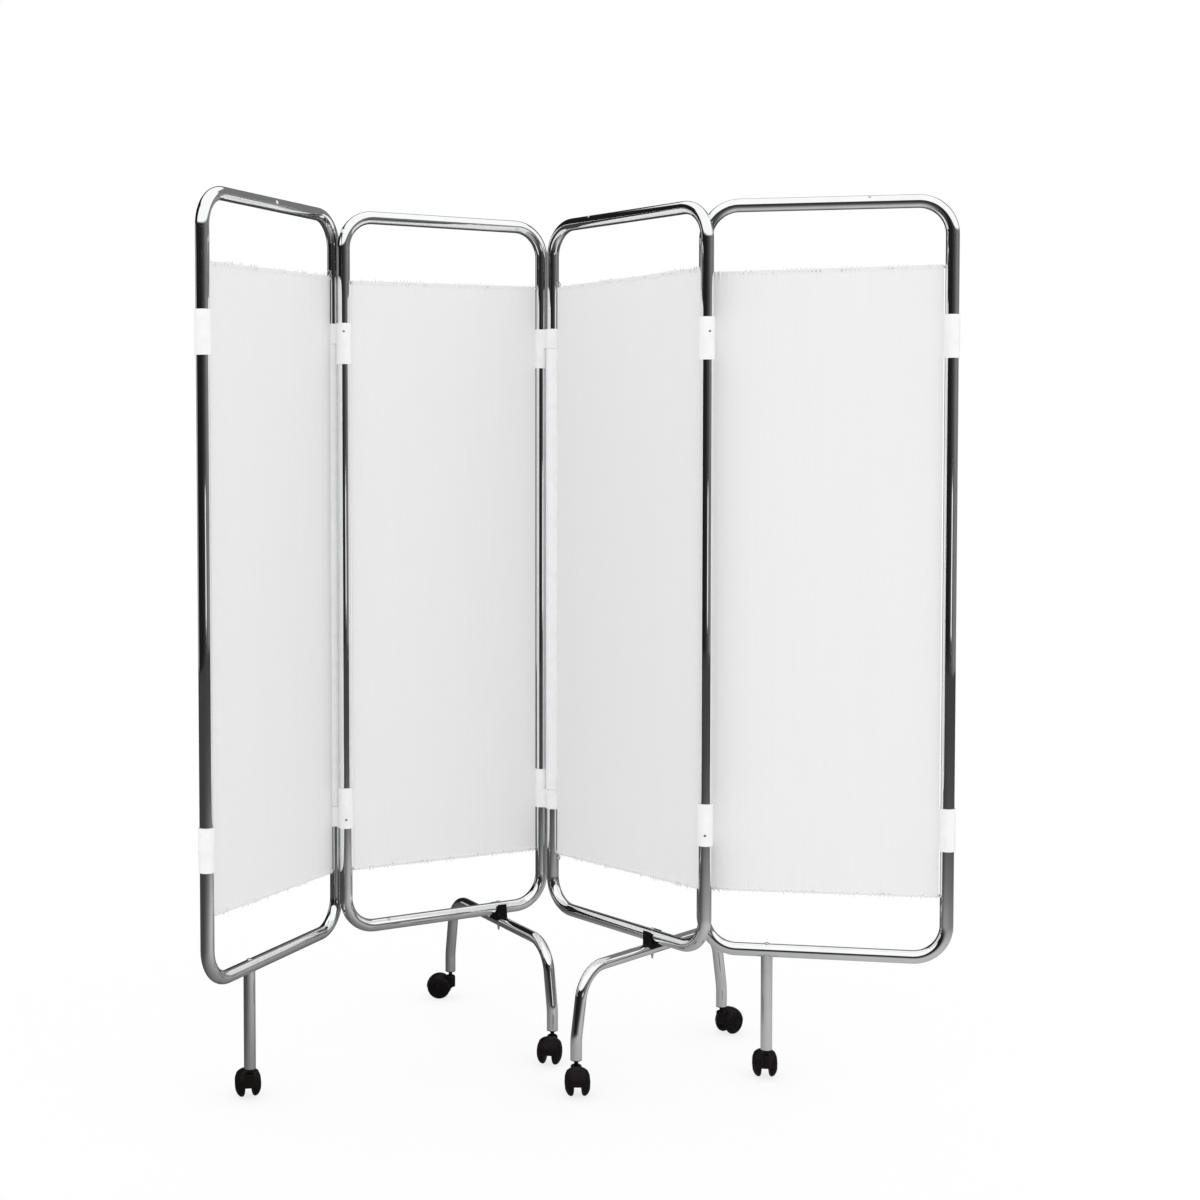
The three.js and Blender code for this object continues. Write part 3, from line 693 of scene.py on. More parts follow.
class WARD_OT_clips(bpy.types.Operator):
    """Makes the hinge clips, the end sleeves, the spacer sleeves and the small screws in the clips"""

    bl_idname = "ward.clips"
    bl_label = "Clips and sleeves"

    def execute(self, context):
        sizes = context.scene.ward_clips
        top, bottom = TOP_SLEEVE_TOP - SLEEVE_LENGTH, BOTTOM_SLEEVE_LOW
        pairs = {
            "1_2": (post(2, "left"), CLIP_TURNS["1_2"], "panel_2"),
            "2_3": (post(2, "right"), CLIP_TURNS["2_3"], "panel_2"),
            "3_4": (post(3, "right"), CLIP_TURNS["3_4"], "panel_4"),
        }
        for key, (place, turn, body) in pairs.items():
            knuckle = TOP_SLEEVE_TOP - KNUCKLE_LENGTH
            clip_piece(f"hinge_clip_{key}_top", place, turn, top, knuckle, body, sizes)
            clip_piece(f"hinge_clip_{key}_bottom", place, turn, bottom, bottom, body, sizes)
        for number, side in ((1, "left"), (4, "right")):
            for level, low in (("top", top), ("bottom", bottom)):
                node = f"end_sleeve_{number}_{level}"
                grid = sleeve_grid(sizes.sleeve, low, low + SLEEVE_LENGTH, sizes.edge)
                piece(f"white_{node}", [post(number, side).grid(grid)], "clip", f"panel_{number}", [node])
        low, high = bottom + KNUCKLE_LENGTH + SEAT_GAP, TOP_SLEEVE_TOP - KNUCKLE_LENGTH - SEAT_GAP
        for number, side in ((1, "right"), (3, "left"), (4, "left")):
            grid = sleeve_grid(SPACER_RADIUS, low, high, sizes.edge)
            piece(f"white_spacer_{number}", [post(number, side).grid(grid)], "clip", f"panel_{number}",
                  [f"spacer_sleeve_{number}"])
        self.screws(sizes, top, bottom)
        return {"FINISHED"}

    def screws(self, sizes, top, bottom):
        """The small screws that hold the clips' sleeves: place, height, turn they face, and body."""
        rows = [
            ("1_2_top", post(2, "left"), top + SLEEVE_LENGTH - 0.016, -88.0, "panel_2"),
            ("1_2_bottom", post(2, "left"), bottom + 0.018, -84.0, "panel_2"),
            ("3_4_top", post(3, "right"), top + SLEEVE_LENGTH - 0.027, -76.0, "panel_4"),
            ("3_4_bottom", post(3, "right"), bottom + 0.021, -98.0, "panel_4"),
            ("2_3_top", post(2, "right"), top + SLEEVE_LENGTH - 0.020, 120.0, "panel_2"),
            ("2_3_bottom", post(2, "right"), bottom + 0.020, 120.0, "panel_2"),
        ]
        for name, place, height, turn, body in rows:
            outward = unit_of(turn)
            centre = outward * (sizes.sleeve - CLIP_SCREW_SINK) + height * UP
            head = facing(screw_head(*CLIP_SCREW), centre, outward, Place(place.origin, 0.0))
            piece(f"clip_screw_{name}", [head], "steel", body)


def noise_row(count, step, seed, lengths):
    """A smooth uneven wave along the cloth: a sum of sines of the given lengths, with drifting phases."""
    rng = np.random.default_rng(seed)
    turns = np.arange(count) * step * FULL_TURN
    total = np.zeros(count)
    for length in lengths:
        stretch = length * rng.uniform(0.85, 1.18)
        drift = rng.uniform(0.8, 1.6) * np.sin(turns / rng.uniform(0.06, 0.14) + rng.uniform(0, 6))
        total += rng.uniform(0.7, 1.0) * np.sin(turns / stretch + drift + rng.uniform(0, FULL_TURN))
    return total / math.sqrt(len(lengths))


CURTAIN_COLUMNS = 640
# How far the cloth's first rows lie from its nearer edge, in millimetres. The rest are evenly spaced
EDGE_ROWS = np.array([0, 0.7, 1.5, 2.4, 3.3, 4.2, 5.1, 6.0, 6.9, 7.8, 8.8, 10, 11.5, 13.2, 15.2, 17.6, 20.6,
                      24.5, 30, 38, 50, 68, 95, 135, 190])
# The casing round a wire: its half height, and how much it swells the cloth on each side
CASING_HALF, CASING_SWELL = 0.0046, 0.0019
# Where the gathers begin to fade, how fast they do, and how far up the fraying of the edge is felt
GATHER_START, GATHER_FADE, FRAY_FADE = 0.004, 0.0085, 0.0036
# How far the frayed edge stands out and in at most
FRAY_OUT, FRAY_IN = 0.0050, 0.0040
# How far in from the edge a loose thread is rooted, and the least and the most of its length and its radius
THREAD_ROOT, THREAD_LENGTHS, THREAD_RADII = 0.0014, (0.0022, 0.0062), (0.00018, 0.00032)
# The lengths of the waves along the cloth: of its long folds at both edges, of how its gathers bunch up and
# of the gathers themselves, of its frayed edge and of how the fraying comes and goes
FOLDS_LOW, FOLDS_HIGH = (0.052, 0.033, 0.024), (0.047, 0.031, 0.021)
BUNCHES, GATHERS = (0.130, 0.064, 0.037), (0.0046, 0.0063, 0.0087)
FRAYS, FRAY_PATCHES = (0.0029, 0.0043, 0.0075), (0.170, 0.083, 0.041)


def curtain_grids(number, sizes):
    """A gathered curtain as a closed thin sheet, worked out over distance from its nearer edge. Its offset
    across the panel is long flat folds plus short gathers, which bunch up at the casings and fade away within
    a few casings' width. The raw edge stands in and out where it frays. The thickness swells over each wire.
    Returns the grids, the flat size, and the sheet's middle."""
    step = (PANEL_WIDTH - 2 * CURTAIN_START) / (CURTAIN_COLUMNS - 1)
    along = CURTAIN_START + np.arange(CURTAIN_COLUMNS) * step
    share = (along / PANEL_WIDTH)[None, :]
    top_left, top_right, bottom_left, bottom_right = CURTAIN_EDGES[number]
    top = top_left + (top_right - top_left) * share
    bottom = bottom_left + (bottom_right - bottom_left) * share
    close = EDGE_ROWS[:, None] / 1000
    rise = np.linspace(0, 1, 16)[1:-1, None]
    low, high = bottom + close[-1], top - close[-1]
    height = np.concatenate([bottom + close, low + rise * (high - low), (top - close)[::-1]])
    rows = height.shape[0]
    level = np.linspace(0, 1, rows)[:, None]

    def wave(seed, lengths):
        return noise_row(CURTAIN_COLUMNS, step, 100 * number + seed, lengths)

    offset = sizes.fold * (wave(0, FOLDS_LOW) * (1 - level) + wave(1, FOLDS_HIGH) * level)
    swell = np.zeros_like(height)
    for which, (edge, inward) in enumerate(((bottom, 1), (top, -1))):
        away = inward * (height - edge)
        bunch = 0.12 + 0.88 * np.clip(0.25 + 0.75 * wave(10 + which, BUNCHES), 0, 1)
        fading = np.exp(-(np.maximum(away - GATHER_START, 0) / GATHER_FADE) ** 1.3)
        offset = offset + sizes.gather * bunch * wave(20 + which, GATHERS) * fading
        cut = wave(30 + which, FRAYS)
        ragged = np.clip(0.34 + 0.75 * wave(40 + which, FRAY_PATCHES), 0.08, 1)
        drawn = np.clip(sizes.fray * ragged * np.sign(cut) * np.abs(cut) ** 1.6, -FRAY_OUT, FRAY_IN)
        height = height + inward * drawn * np.exp(-(away / FRAY_FADE) ** 2)
        from_wire = np.clip(np.abs(away - WIRE_TO_EDGE) / CASING_HALF, 0, 1)
        swell = swell + CASING_SWELL * np.cos(from_wire * math.pi / 2) ** 2
    half = sizes.cloth / 2 + swell
    spread = along + np.zeros_like(height)
    front, middle, back = (np.stack([spread, offset + side * half, height], axis=-1) for side in (-1, 0, 1))
    run = np.cumsum(np.linalg.norm(np.diff(middle[rows // 2], axis=0), axis=-1))
    uv = np.stack([np.concatenate([[0], run]) + 0 * height, height], axis=-1)
    grids = [grid._replace(uv=uv if grid.points.shape == front.shape else grid.points[..., [0, 2]])
             for grid in shell(front, back)]
    tall = float(np.mean(top - bottom))
    return grids, (surface_area(middle) / tall, tall), middle


def surface_area(points):
    """The area of a grid of points, as the sum of its faces' two triangles."""
    a, b = points[:-1, :-1], points[:-1, 1:]
    c, d = points[1:, 1:], points[1:, :-1]
    first = np.linalg.norm(np.cross(b - a, c - a), axis=-1)
    second = np.linalg.norm(np.cross(c - a, d - a), axis=-1)
    return float((first + second).sum() / 2)


def thread_grids(middle, sizes, seed):
    """Loose threads at both edges. A thread is root + s * lean + s^2 * length * droop, with s from nothing to
    one, and a three-sided section that closes at both ends."""
    rng = np.random.default_rng(seed)
    grids = []
    s = np.array([0.0, 0.03, 0.35, 0.7, 1.0])[:, None]
    girth = np.array([0.0, 1.0, 1.0, 0.8, 0.0])[:, None, None]
    angle = np.linspace(0, FULL_TURN, 3, endpoint=False)
    ring = np.stack([np.cos(angle), np.sin(angle), 0 * angle], axis=-1)[None]
    for row, outward in ((0, -1), (-1, 1)):
        roots = middle[row][rng.integers(4, middle.shape[1] - 4, sizes.threads)]
        for root in roots - outward * THREAD_ROOT * UP:
            length = rng.uniform(*THREAD_LENGTHS)
            lean = length * np.array([rng.normal(0, 0.35), rng.normal(0, 0.25), outward])
            droop = (rng.normal(0, 0.35), rng.normal(0, 0.3), -outward * rng.uniform(0, 0.25))
            centre = root + s * lean + s**2 * (length * np.array(droop))
            points = centre[:, None, :] + rng.uniform(*THREAD_RADII) * girth * ring
            grids.append(Grid(points, wrap_columns=True))
    return grids


class WARD_OT_curtains(bpy.types.Operator):
    """Makes the four gathered curtains with their casings, raw edges and loose threads"""

    bl_idname = "ward.curtains"
    bl_label = "Curtains"

    def execute(self, context):
        sizes = context.scene.ward_curtains
        for number, place in PANELS.items():
            body = f"panel_{number}"
            grids, flat, middle = curtain_grids(number, sizes)
            cloth = piece(f"curtain_cloth_{number}", place.grids(grids), "cloth", body, [f"curtain_{number}"],
                          sharp=75.0)
            loose = thread_grids(middle, sizes, 7 + number)
            threads = piece(f"curtain_threads_{number}", place.grids(loose), "thread", body)
        return {"FINISHED"}


def ring_grid(centre, axis, radius, wire):
    """A closed ring of round wire: centre + radius * (cos a, sin a) in the plane square to its axis."""
    turn = np.linspace(0, FULL_TURN, 32, endpoint=False)[:, None]
    first = ALONG if abs(axis[0]) < 0.5 else UP
    second = np.cross(axis, first)
    centres = centre + radius * (np.cos(turn) * first + np.sin(turn) * second)
    headings = np.cos(turn) * second - np.sin(turn) * first
    return Grid(tube(centres, headings, axis, wire, 12), wrap_rows=True, wrap_columns=True)


def rod(start, end, heading, radii, sides):
    """A straight round rod with a radius at each end, closed at both."""
    spine = np.stack([start, start, end, end])
    points = tube(spine, np.tile(heading, (4, 1)), ACROSS, np.array([0.0, *radii, 0.0]), sides)
    return Grid(points, wrap_columns=True)


# A screw eye clear of the cloth and one inside the casing: the radius and the wire's radius of the eye, and
# those of the loop that hangs in it
CLEAR_EYE = (0.0048, 0.0011, 0.0024, 0.0008)
HIDDEN_EYE = (0.0026, 0.0008, 0.0018, 0.0006)
# How far an eye's shank reaches into the post, its length, and its radius at both ends
SHANK_ROOT, SHANK_LENGTH, SHANK_RADII = 0.0010, 0.0022, (0.0017, 0.0015)


def eye_grids(post_side, inward, wire_height, up):
    """A screw eye in a post, with the loop of the wire's end through it: the eye stands in the panel's plane,
    and the loop square to it. Returns them with the place where the wire leaves the loop. With no way up, the
    eye stands level with the wire, inside the casing."""
    eye_radius, eye_wire, loop_radius, loop_wire = CLEAR_EYE if up else HIDDEN_EYE
    lift = up * (eye_radius + 2 * loop_radius)
    eye_centre = np.array([post_side + inward * (eye_radius + SHANK_ROOT), 0.0, wire_height + lift])
    wire_end = np.array([eye_centre[0], 0.0, wire_height])
    root = np.array([post_side - inward * SHANK_ROOT, 0.0, eye_centre[2]])
    return [
        ring_grid(eye_centre, ACROSS, eye_radius, eye_wire),
        ring_grid(wire_end + up * loop_radius * UP, ALONG, loop_radius, loop_wire),
        rod(root, root + inward * SHANK_LENGTH * ALONG, ALONG, SHANK_RADII, 14),
    ], wire_end


class WARD_OT_wires(bpy.types.Operator):
    """Makes the curtain wires, each with a loop at both ends that hangs in a screw eye in the post"""

    bl_idname = "ward.wires"
    bl_label = "Curtain wires"

    def execute(self, context):
        tube_radius = context.scene.ward_frames.tube / 2
        for number, place in PANELS.items():
            edges = CURTAIN_EDGES[number]
            for level, up, (left, right) in (("top", 1, edges[:2]), ("bottom", -1, edges[2:])):
                grids, ends = [], []
                for side, inward, edge in ((tube_radius, 1, left), (PANEL_WIDTH - tube_radius, -1, right)):
                    clear = (number, level, inward) in CLEAR_EYES
                    eye, end = eye_grids(side, inward, edge - up * WIRE_TO_EDGE, up if clear else 0)
                    grids += eye
                    ends.append(end)
                heading = (ends[1] - ends[0]) / np.linalg.norm(ends[1] - ends[0])
                grids.append(rod(*ends, heading, (WIRE_RADIUS, WIRE_RADIUS), 16))
                name = f"curtain_wire_{number}_{level}"
                piece(f"spring_{name}", place.grids(grids), "steel", f"panel_{number}", [name])
        return {"FINISHED"}


def pipe(outer, inner):
    """An open pipe: its outer and inner walls, joined by a ring at both ends."""
    rings = [Grid(np.stack([outer[end], inner[end]]), wrap_columns=True) for end in (0, -1)]
    return [Grid(outer, wrap_columns=True), Grid(inner, wrap_columns=True), *rings]


def coped_leg(sizes):
    """A straight leg, upright from its open end. Its top follows the rail's underside: the height there is
    the rail's own less the root of (rail radius^2 - across^2)."""
    rail = sizes.tube / 2 + SEAT_GAP
    angle = np.linspace(0, FULL_TURN, 48, endpoint=False)
    share = np.linspace(0, 1, 6)[:, None]
    walls = []
    for radius in (sizes.leg_tube / 2, sizes.leg_tube / 2 - LEG_WALL):
        along, across = radius * np.cos(angle), radius * np.sin(angle)
        top = RAIL_LOW - np.sqrt(rail**2 - across**2)
        height = TUBE_END + share * (top - TUBE_END)
        walls.append(np.stack([along + 0 * height, across + 0 * height, height], axis=-1))
    return pipe(*walls)


def cross_leg(sizes):
    """A cross leg: up from one foot, bent out of the upright at the ankle, bent again at the shoulder, along
    under the rail, and down to the other foot in the same way."""
    ankle = TUBE_END + ANKLE_RISE
    shoulder = FOOT_REACH - (BAR_HEIGHT - ankle) * math.tan(math.radians(LEG_SPLAY))
    corners = [(0, -FOOT_REACH, TUBE_END), (0, -FOOT_REACH, ankle), (0, -shoulder, BAR_HEIGHT),
               (0, shoulder, BAR_HEIGHT), (0, FOOT_REACH, ankle), (0, FOOT_REACH, TUBE_END)]
    radii = [0, sizes.ankle_bend, sizes.leg_bend, sizes.leg_bend, sizes.ankle_bend, 0]
    centres, headings = rounded_path(corners, radii, 20)
    outer, inner = (tube(centres, headings, ALONG, radius, 40)
                    for radius in (sizes.leg_tube / 2, sizes.leg_tube / 2 - LEG_WALL))
    return pipe(outer, inner)


class WARD_OT_legs(bpy.types.Operator):
    """Makes the straight legs with their screws, and the cross legs"""

    bl_idname = "ward.legs"
    bl_label = "Legs"

    def execute(self, context):
        sizes = context.scene.ward_frames
        for number, along in STRAIGHT_LEGS.items():
            place, body = PANELS[number].shifted(along), f"panel_{number}"
            piece(f"chrome_leg_{number}", place.grids(coped_leg(sizes)), "chrome", body, [f"leg_{number}"],
                  sharp=50.0)
            centre = (RAIL_LOW + sizes.tube / 2 - LEG_SCREW_SINK) * UP
            piece(f"leg_screw_{number}", [facing(screw_head(*LEG_SCREW), centre, UP, place)], "steel", body)
        for number, (along, turn) in CROSS_LEGS.items():
            place = PANELS[number].shifted(along, turn=turn)
            piece(f"chrome_cross_leg_{number}", place.grids(cross_leg(sizes)), "chrome", f"panel_{number}",
                  [f"cross_leg_{number}"], sharp=50.0)
        return {"FINISHED"}


SADDLE_WALL = 0.003  # beside the rail
CHEEK_DROP = 0.003  # from the rail's top to the saddle's cheeks
WAIST_RISE = 0.004  # from the rail's underside up to the saddle's waist
BAR_GRIP = 0.008  # how deep the bar lies in the saddle
BAR_WALL = 0.002  # beside the bar
SADDLE_HALF = 0.010  # half the saddle's length
BOLT_HEAD = 0.0045  # the radius of the bolt's head
BOLT_RIM = 0.0005  # the height of the head's rim
BOLT_DOME = 0.0015  # the height of its dome over the rim
BOLT_SHANK = 0.003  # the shank's radius
BOLT_TIP = 0.010  # how far the tip stands out below the bar


def saddle_grids(sizes, leg_turn):
    """The saddle as a section across the rail carried along it: its outer wall wraps the rail from cheek top
    to cheek top, and its inner wall is the rail's own round. Below the waist it is wider, and slants with the
    bar."""
    rail = sizes.tube / 2 + SEAT_GAP
    cheek_top = RAIL_LOW + sizes.tube / 2 - CHEEK_DROP
    waist = FRAME_BOTTOM + WAIST_RISE
    low = BAR_HEIGHT + sizes.leg_tube / 2 - BAR_GRIP
    depth = sizes.tube / 2 + SADDLE_WALL
    under = np.linspace(math.pi, FULL_TURN, 17)
    rounds = np.stack([rail * np.cos(under), RAIL_LOW + rail * np.sin(under)], axis=-1)
    inner = np.concatenate([[(-rail, cheek_top)], rounds, [(rail, cheek_top)]])
    share = np.linspace(-1, 1, len(rounds))
    sole = [(depth * side * abs(part) ** 0.3, low) for side, part in zip(np.sign(share), share)]
    outer = np.array([(-depth, cheek_top), *sole, (depth, cheek_top)])
    along = np.linspace(-SADDLE_HALF, SADDLE_HALF, 9)
    flare = sizes.leg_tube / 2 + BAR_WALL
    slant = -math.tan(math.radians(leg_turn))

    def carried(section):
        across, height = section.T
        grow = np.clip((waist - height) / (waist - low), 0, 1) ** 0.6
        length = along[:, None] * (1 + (flare / SADDLE_HALF - 1) * grow) + slant * grow * across
        return np.stack([length, across + 0 * length, height + 0 * length], axis=-1)

    return shell(carried(outer), carried(inner))


def bolt_grid(sizes):
    """The bolt: a domed head on the rail, its shank through rail and bar, and its tapered tip below."""
    head_low = RAIL_LOW + sizes.tube / 2 + SEAT_GAP
    rim = head_low + BOLT_RIM
    tip_high = BAR_HEIGHT - sizes.leg_tube / 2
    tip_low = tip_high - BOLT_TIP
    bow = np.linspace(0, math.pi / 2, 7)[1:]
    dome = [(BOLT_HEAD * math.sin(a), rim + BOLT_DOME * math.cos(a)) for a in bow]
    tip = [(0.0028, tip_high - 0.002), (0.0016, tip_low + 0.0006), (0.0009, tip_low), (0.0, tip_low)]
    profile = [(0.0, rim + BOLT_DOME), *dome, (BOLT_HEAD, head_low), (BOLT_SHANK, head_low),
               (BOLT_SHANK, tip_high), *tip]
    return lathe(profile, 24, slot=1)


class WARD_OT_saddles(bpy.types.Operator):
    """Makes the black saddles between the rails and the cross legs, with their bolts"""

    bl_idname = "ward.saddles"
    bl_label = "Saddles"

    def execute(self, context):
        sizes = context.scene.ward_frames
        for number, (along, turn) in CROSS_LEGS.items():
            place = PANELS[number].shifted(along)
            grids = place.grids([*saddle_grids(sizes, turn), bolt_grid(sizes)])
            piece(f"black_saddle_{number}", grids, "saddle steel", f"panel_{number}", [f"leg_clamp_{number}"],
                  sharp=45.0)
        return {"FINISHED"}


TREAD_END = 0.0120  # where a wheel's tread ends on the outside
DOME_REACH = 0.0128  # how far its dome would stand out from there at the axle
EDGE_OUT, EDGE_ACROSS = 0.0062, 0.0042  # the round of its inner edge
PEAK_RISE = 0.003  # the hood's peak over the wheels
DOME_HALF_WIDTH, DOME_BOW = 0.02666, 2.3  # the half width and the power of its dome's section
DOME_WALL = 1.035  # how much wider its outer side is than its inner one
HOOD_GAP = 0.0001  # between the hood and the wheels
HOOD_FLAT = 0.010  # how far the hood's inner side stays level
PLATE_HALF, PLATE_RISE = 0.0066, 0.002  # the plate's half thickness, and its rim over the wheels
HUB, AXLE_PIN = (0.007, 0.0072), (0.003, 0.0190)  # radius and half length
BOSS_RADIUS, PIN_HOLE, HOLE_DEPTH = 0.0105, 0.0046, 0.006  # the boss, and the hole in it for the swivel pin
FLANGE_RIM, FLANGE_CONE = 0.0010, 0.0036  # the heights of the stem's flange at its rim and at its neck
PLUG_RADIUS, PLUG_LENGTH = 0.0085, 0.020
PIN_RADIUS, PIN_DEPTH = 0.004, 0.0175  # the swivel pin, and how far it reaches below the hood's top


def wheel_curve(radius, turn, out=0.0):
    """The wheel's domed outer side as (radius, across) pairs: an ellipse from the tread at nothing to the
    axle at a quarter turn, pushed out along its own normal."""
    normal = np.stack([np.cos(turn) / radius, np.sin(turn) / DOME_REACH], axis=-1)
    normal = normal / np.linalg.norm(normal, axis=-1, keepdims=True)
    return np.stack([radius * np.cos(turn), TREAD_END + DOME_REACH * np.sin(turn)], axis=-1) + out * normal


def wheel_grid(side, sizes):
    """A wheel: a flat inner face with a round edge, the tread, the domed outer side, and a dished hub cap."""
    radius = sizes.wheel
    inner = [(radius - EDGE_OUT + EDGE_OUT * math.sin(a), TREAD_END - EDGE_ACROSS * math.cos(a))
             for a in np.linspace(0, math.pi / 2, 9)]
    dome = wheel_curve(radius, np.linspace(0, math.radians(56), 22))
    rim, level = dome[-1]
    groove = [(rim - 0.0006, level - 0.0002), (rim - 0.0012, level - 0.0012), (0.0088, level - 0.0012)]
    cap = [(0.008, level - 0.0002), (0.007, level + 0.0008), (0.004, level + 0.0013), (0.0, level + 0.0014)]
    profile = [(0.0, WHEEL_INNER), (0.010, WHEEL_INNER), *inner, *dome[1:], *groove, *cap]
    return on_axle(profile, 64, sizes, side)


def hood_grids(sizes):
    """The hood: a dome over both wheels, carried round the axle, a plate between the wheels, the round hub,
    and the upright boss that takes the swivel pin. The dome's section is a superellipse: its height over the
    axle is peak * (1 - (across / half_width)^bow)^(1 / bow), and its inner side follows the wheels."""
    radius, top = sizes.wheel, sizes.hood_top
    sweep = np.radians(np.linspace(*HOOD_SWEEP, 48))[:, None]
    mirror = np.array([1.0, -1.0])

    def around(section):
        return np.stack([sizes.trail + section[:, 0] * np.cos(sweep), section[:, 1] + 0 * sweep,
                         radius + section[:, 0] * np.sin(sweep)], axis=-1)

    def both_sides(half):
        return around(np.concatenate([half[::-1] * mirror, half[1:]]))

    flat = np.linspace(0, HOOD_FLAT, 6)
    curve = wheel_curve(radius, np.linspace(0, math.radians(34), 16), HOOD_GAP)
    inner = np.concatenate([np.stack([radius + HOOD_GAP + 0 * flat, flat], axis=-1), curve])
    across = DOME_WALL * inner[:, 1]
    height = (radius + PEAK_RISE) * (1 - (across / DOME_HALF_WIDTH) ** DOME_BOW) ** (1 / DOME_BOW)
    plate = np.stack([np.linspace(0, radius + PLATE_RISE, 6), np.full(6, PLATE_HALF)], axis=-1)
    (hub, half_hub), (pin, half_pin) = HUB, AXLE_PIN
    hub_profile, _ = rounded_path([(0.0, -half_hub), (hub, -half_hub), (hub, half_hub), (0.0, half_hub)],
                                  [0, 0.001, 0.001, 0], 4)
    boss, _ = rounded_path([(0.0, radius), (BOSS_RADIUS, radius), (BOSS_RADIUS, top), (PIN_HOLE, top),
                            (PIN_HOLE, top - HOLE_DEPTH), (0.0, top - HOLE_DEPTH)],
                           [0, 0.0015, 0.0042, 0.0004, 0, 0], 6)
    return [
        *shell(both_sides(np.stack([height, across], axis=-1)), both_sides(inner)),
        *shell(around(plate), around(plate * mirror)),
        on_axle(hub_profile, 40, sizes),
        on_axle([(0.0, -half_pin), (pin, -half_pin), (pin, half_pin), (0.0, half_pin)], 20, sizes),
        lathe(boss, 40),
    ]


def stem_grids(sizes, leg_radius):
    """The stem: a black plug, its coned flange under the tube's end, and the pin into the hood, black as
    painted shade.
    """
    high, plug_top = TUBE_END - SEAT_GAP, TUBE_END + PLUG_LENGTH
    low, neck = high - FLANGE_RIM, high - FLANGE_CONE
    plug, _ = rounded_path([(0.0, neck), (PIN_HOLE, neck), (leg_radius, low), (leg_radius, high),
                            (PLUG_RADIUS, high), (PLUG_RADIUS, plug_top), (0.0, plug_top)],
                           [0, 0.0003, 0.0004, 0.0002, 0.0002, 0.002, 0], 4)
    pin_low, pin_high = sizes.hood_top - PIN_DEPTH, neck + 0.0004
    # The pin takes the black plastic as painted shade in the neck
    pin = [(0.0, pin_low), (PIN_RADIUS, pin_low), (PIN_RADIUS, pin_high), (0.0, pin_high)]
    return [lathe(plug, 40), lathe(pin, 24)]


class WARD_OT_castors(bpy.types.Operator):
    """Makes the six castors: stem, hood and two wheels each"""

    bl_idname = "ward.castors"
    bl_label = "Castors"

    def execute(self, context):
        sizes = context.scene.ward_castors
        leg_radius = context.scene.ward_frames.leg_tube / 2
        for key, panel in CASTORS.items():
            swivel = np.array(JOINTS[f"castor_{key}_swivel"]["pos_m"])
            axle = np.array(JOINTS[f"castor_{key}_roll"]["pos_m"])
            heading = axle - swivel
            place = Place(swivel, math.degrees(math.atan2(heading[1], heading[0])))
            piece(f"stem_{key}", place.grids(stem_grids(sizes, leg_radius)), "castor", f"panel_{panel}",
                  [f"castor_{key}_stem"])
            piece(f"hood_{key}", place.grids(hood_grids(sizes)), "castor", f"castor_{key}",
                  [f"castor_{key}_hood"])
            for side, letter in ((1, "a"), (-1, "b")):
                piece(f"wheel_{key}_{letter}", [place.grid(wheel_grid(side, sizes))], "wheel",
                      f"castor_{key}_wheels", [f"castor_{key}_wheel_{letter}"])
        return {"FINISHED"}


# ---- the studio

FLOOR_SPAN, FLOOR_LEVEL = (-4.0, 4.0), -0.0002
FLOOR_WHITE = 0.78  # how white the floor is where it is seen
FLOOR_FADE = (1.3, 3.2)  # the distances between which it fades away
# The painted reflection is a glowing dome over a glowing disc, which only mirror rays meet
ROOM_RADIUS, ROOM_CENTRE, GROUND_LEVEL = 7.0, 0.9, -0.0004
LAMP_SIZE, KEY_PLACE, FILL_PLACE = 2.6, (3.7, -2.6, 2.6), (-2.6, -4.2, 2.6)
LAMP_AIM = np.array([0.0, 0.0, 0.9])
# The camera, as it was fitted to the photograph
CAMERA_PLACE = (-0.2254, -3.6128, 1.2072)
CAMERA_TILT, CAMERA_ROLL, CAMERA_SHIFT = 90 - 2.385, -0.095, (0.1156, -0.0649)

# The painted reflection's brightness round the walls, against the direction from the screen, in degrees from
# its right by its back
PAINTED_REFLECTION_TONES = [
    (0, 0.19), (35, 0.19), (60, 0.30), (80, 0.25), (104, 0.012), (141, 0.012), (143, 0.50), (163, 0.50),
    (166, 0.01), (250, 0.015), (290, 0.055), (335, 0.20), (360, 0.19),
]


def flat_distance(finish):
    """The coordinates' three parts, and the distance from the upright axis."""
    across, away, up = finish.split(finish.coordinates())
    return across, away, up, (across * across + away * away) ** 0.5


def seen_rays(finish):
    """One for rays that the camera, a mirror or glass sends out, and nothing for the light's own."""
    path = finish.node("ShaderNodeLightPath")
    camera, glossy, through = (finish.value(path.outputs[name]) for name in
                               ("Is Camera Ray", "Is Glossy Ray", "Is Transmission Ray"))
    return camera.larger(glossy).larger(through)


def floor_finish(colour):
    """A plain pale floor, almost white where it is seen, that keeps a soft shadow and fades into the white
    background a few paces away from the screen."""
    finish = Finish("pale_floor")
    distance = flat_distance(finish)[3]
    pale = finish.node("ShaderNodeBsdfDiffuse", None, {"Color": colour})
    white = finish.node("ShaderNodeEmission", None, {"Color": WHITE, "Strength": 1.0})
    shown = finish.shaders_mixed(FLOOR_WHITE * seen_rays(finish), pale, white)
    clear = finish.node("ShaderNodeBsdfTransparent")
    return finish.made_of(finish.shaders_mixed(distance.between(*FLOOR_FADE), shown, clear))


def painted_glow(finish, colour):
    """The finish glows with painted light of its own colour, and isn't taken for a lamp."""
    finish.material.cycles.emission_sampling = "NONE"
    return finish.made_of(finish.node("ShaderNodeEmission", None, {"Color": colour, "Strength": 1.0}))


def grey(value):
    return (value, value, value)


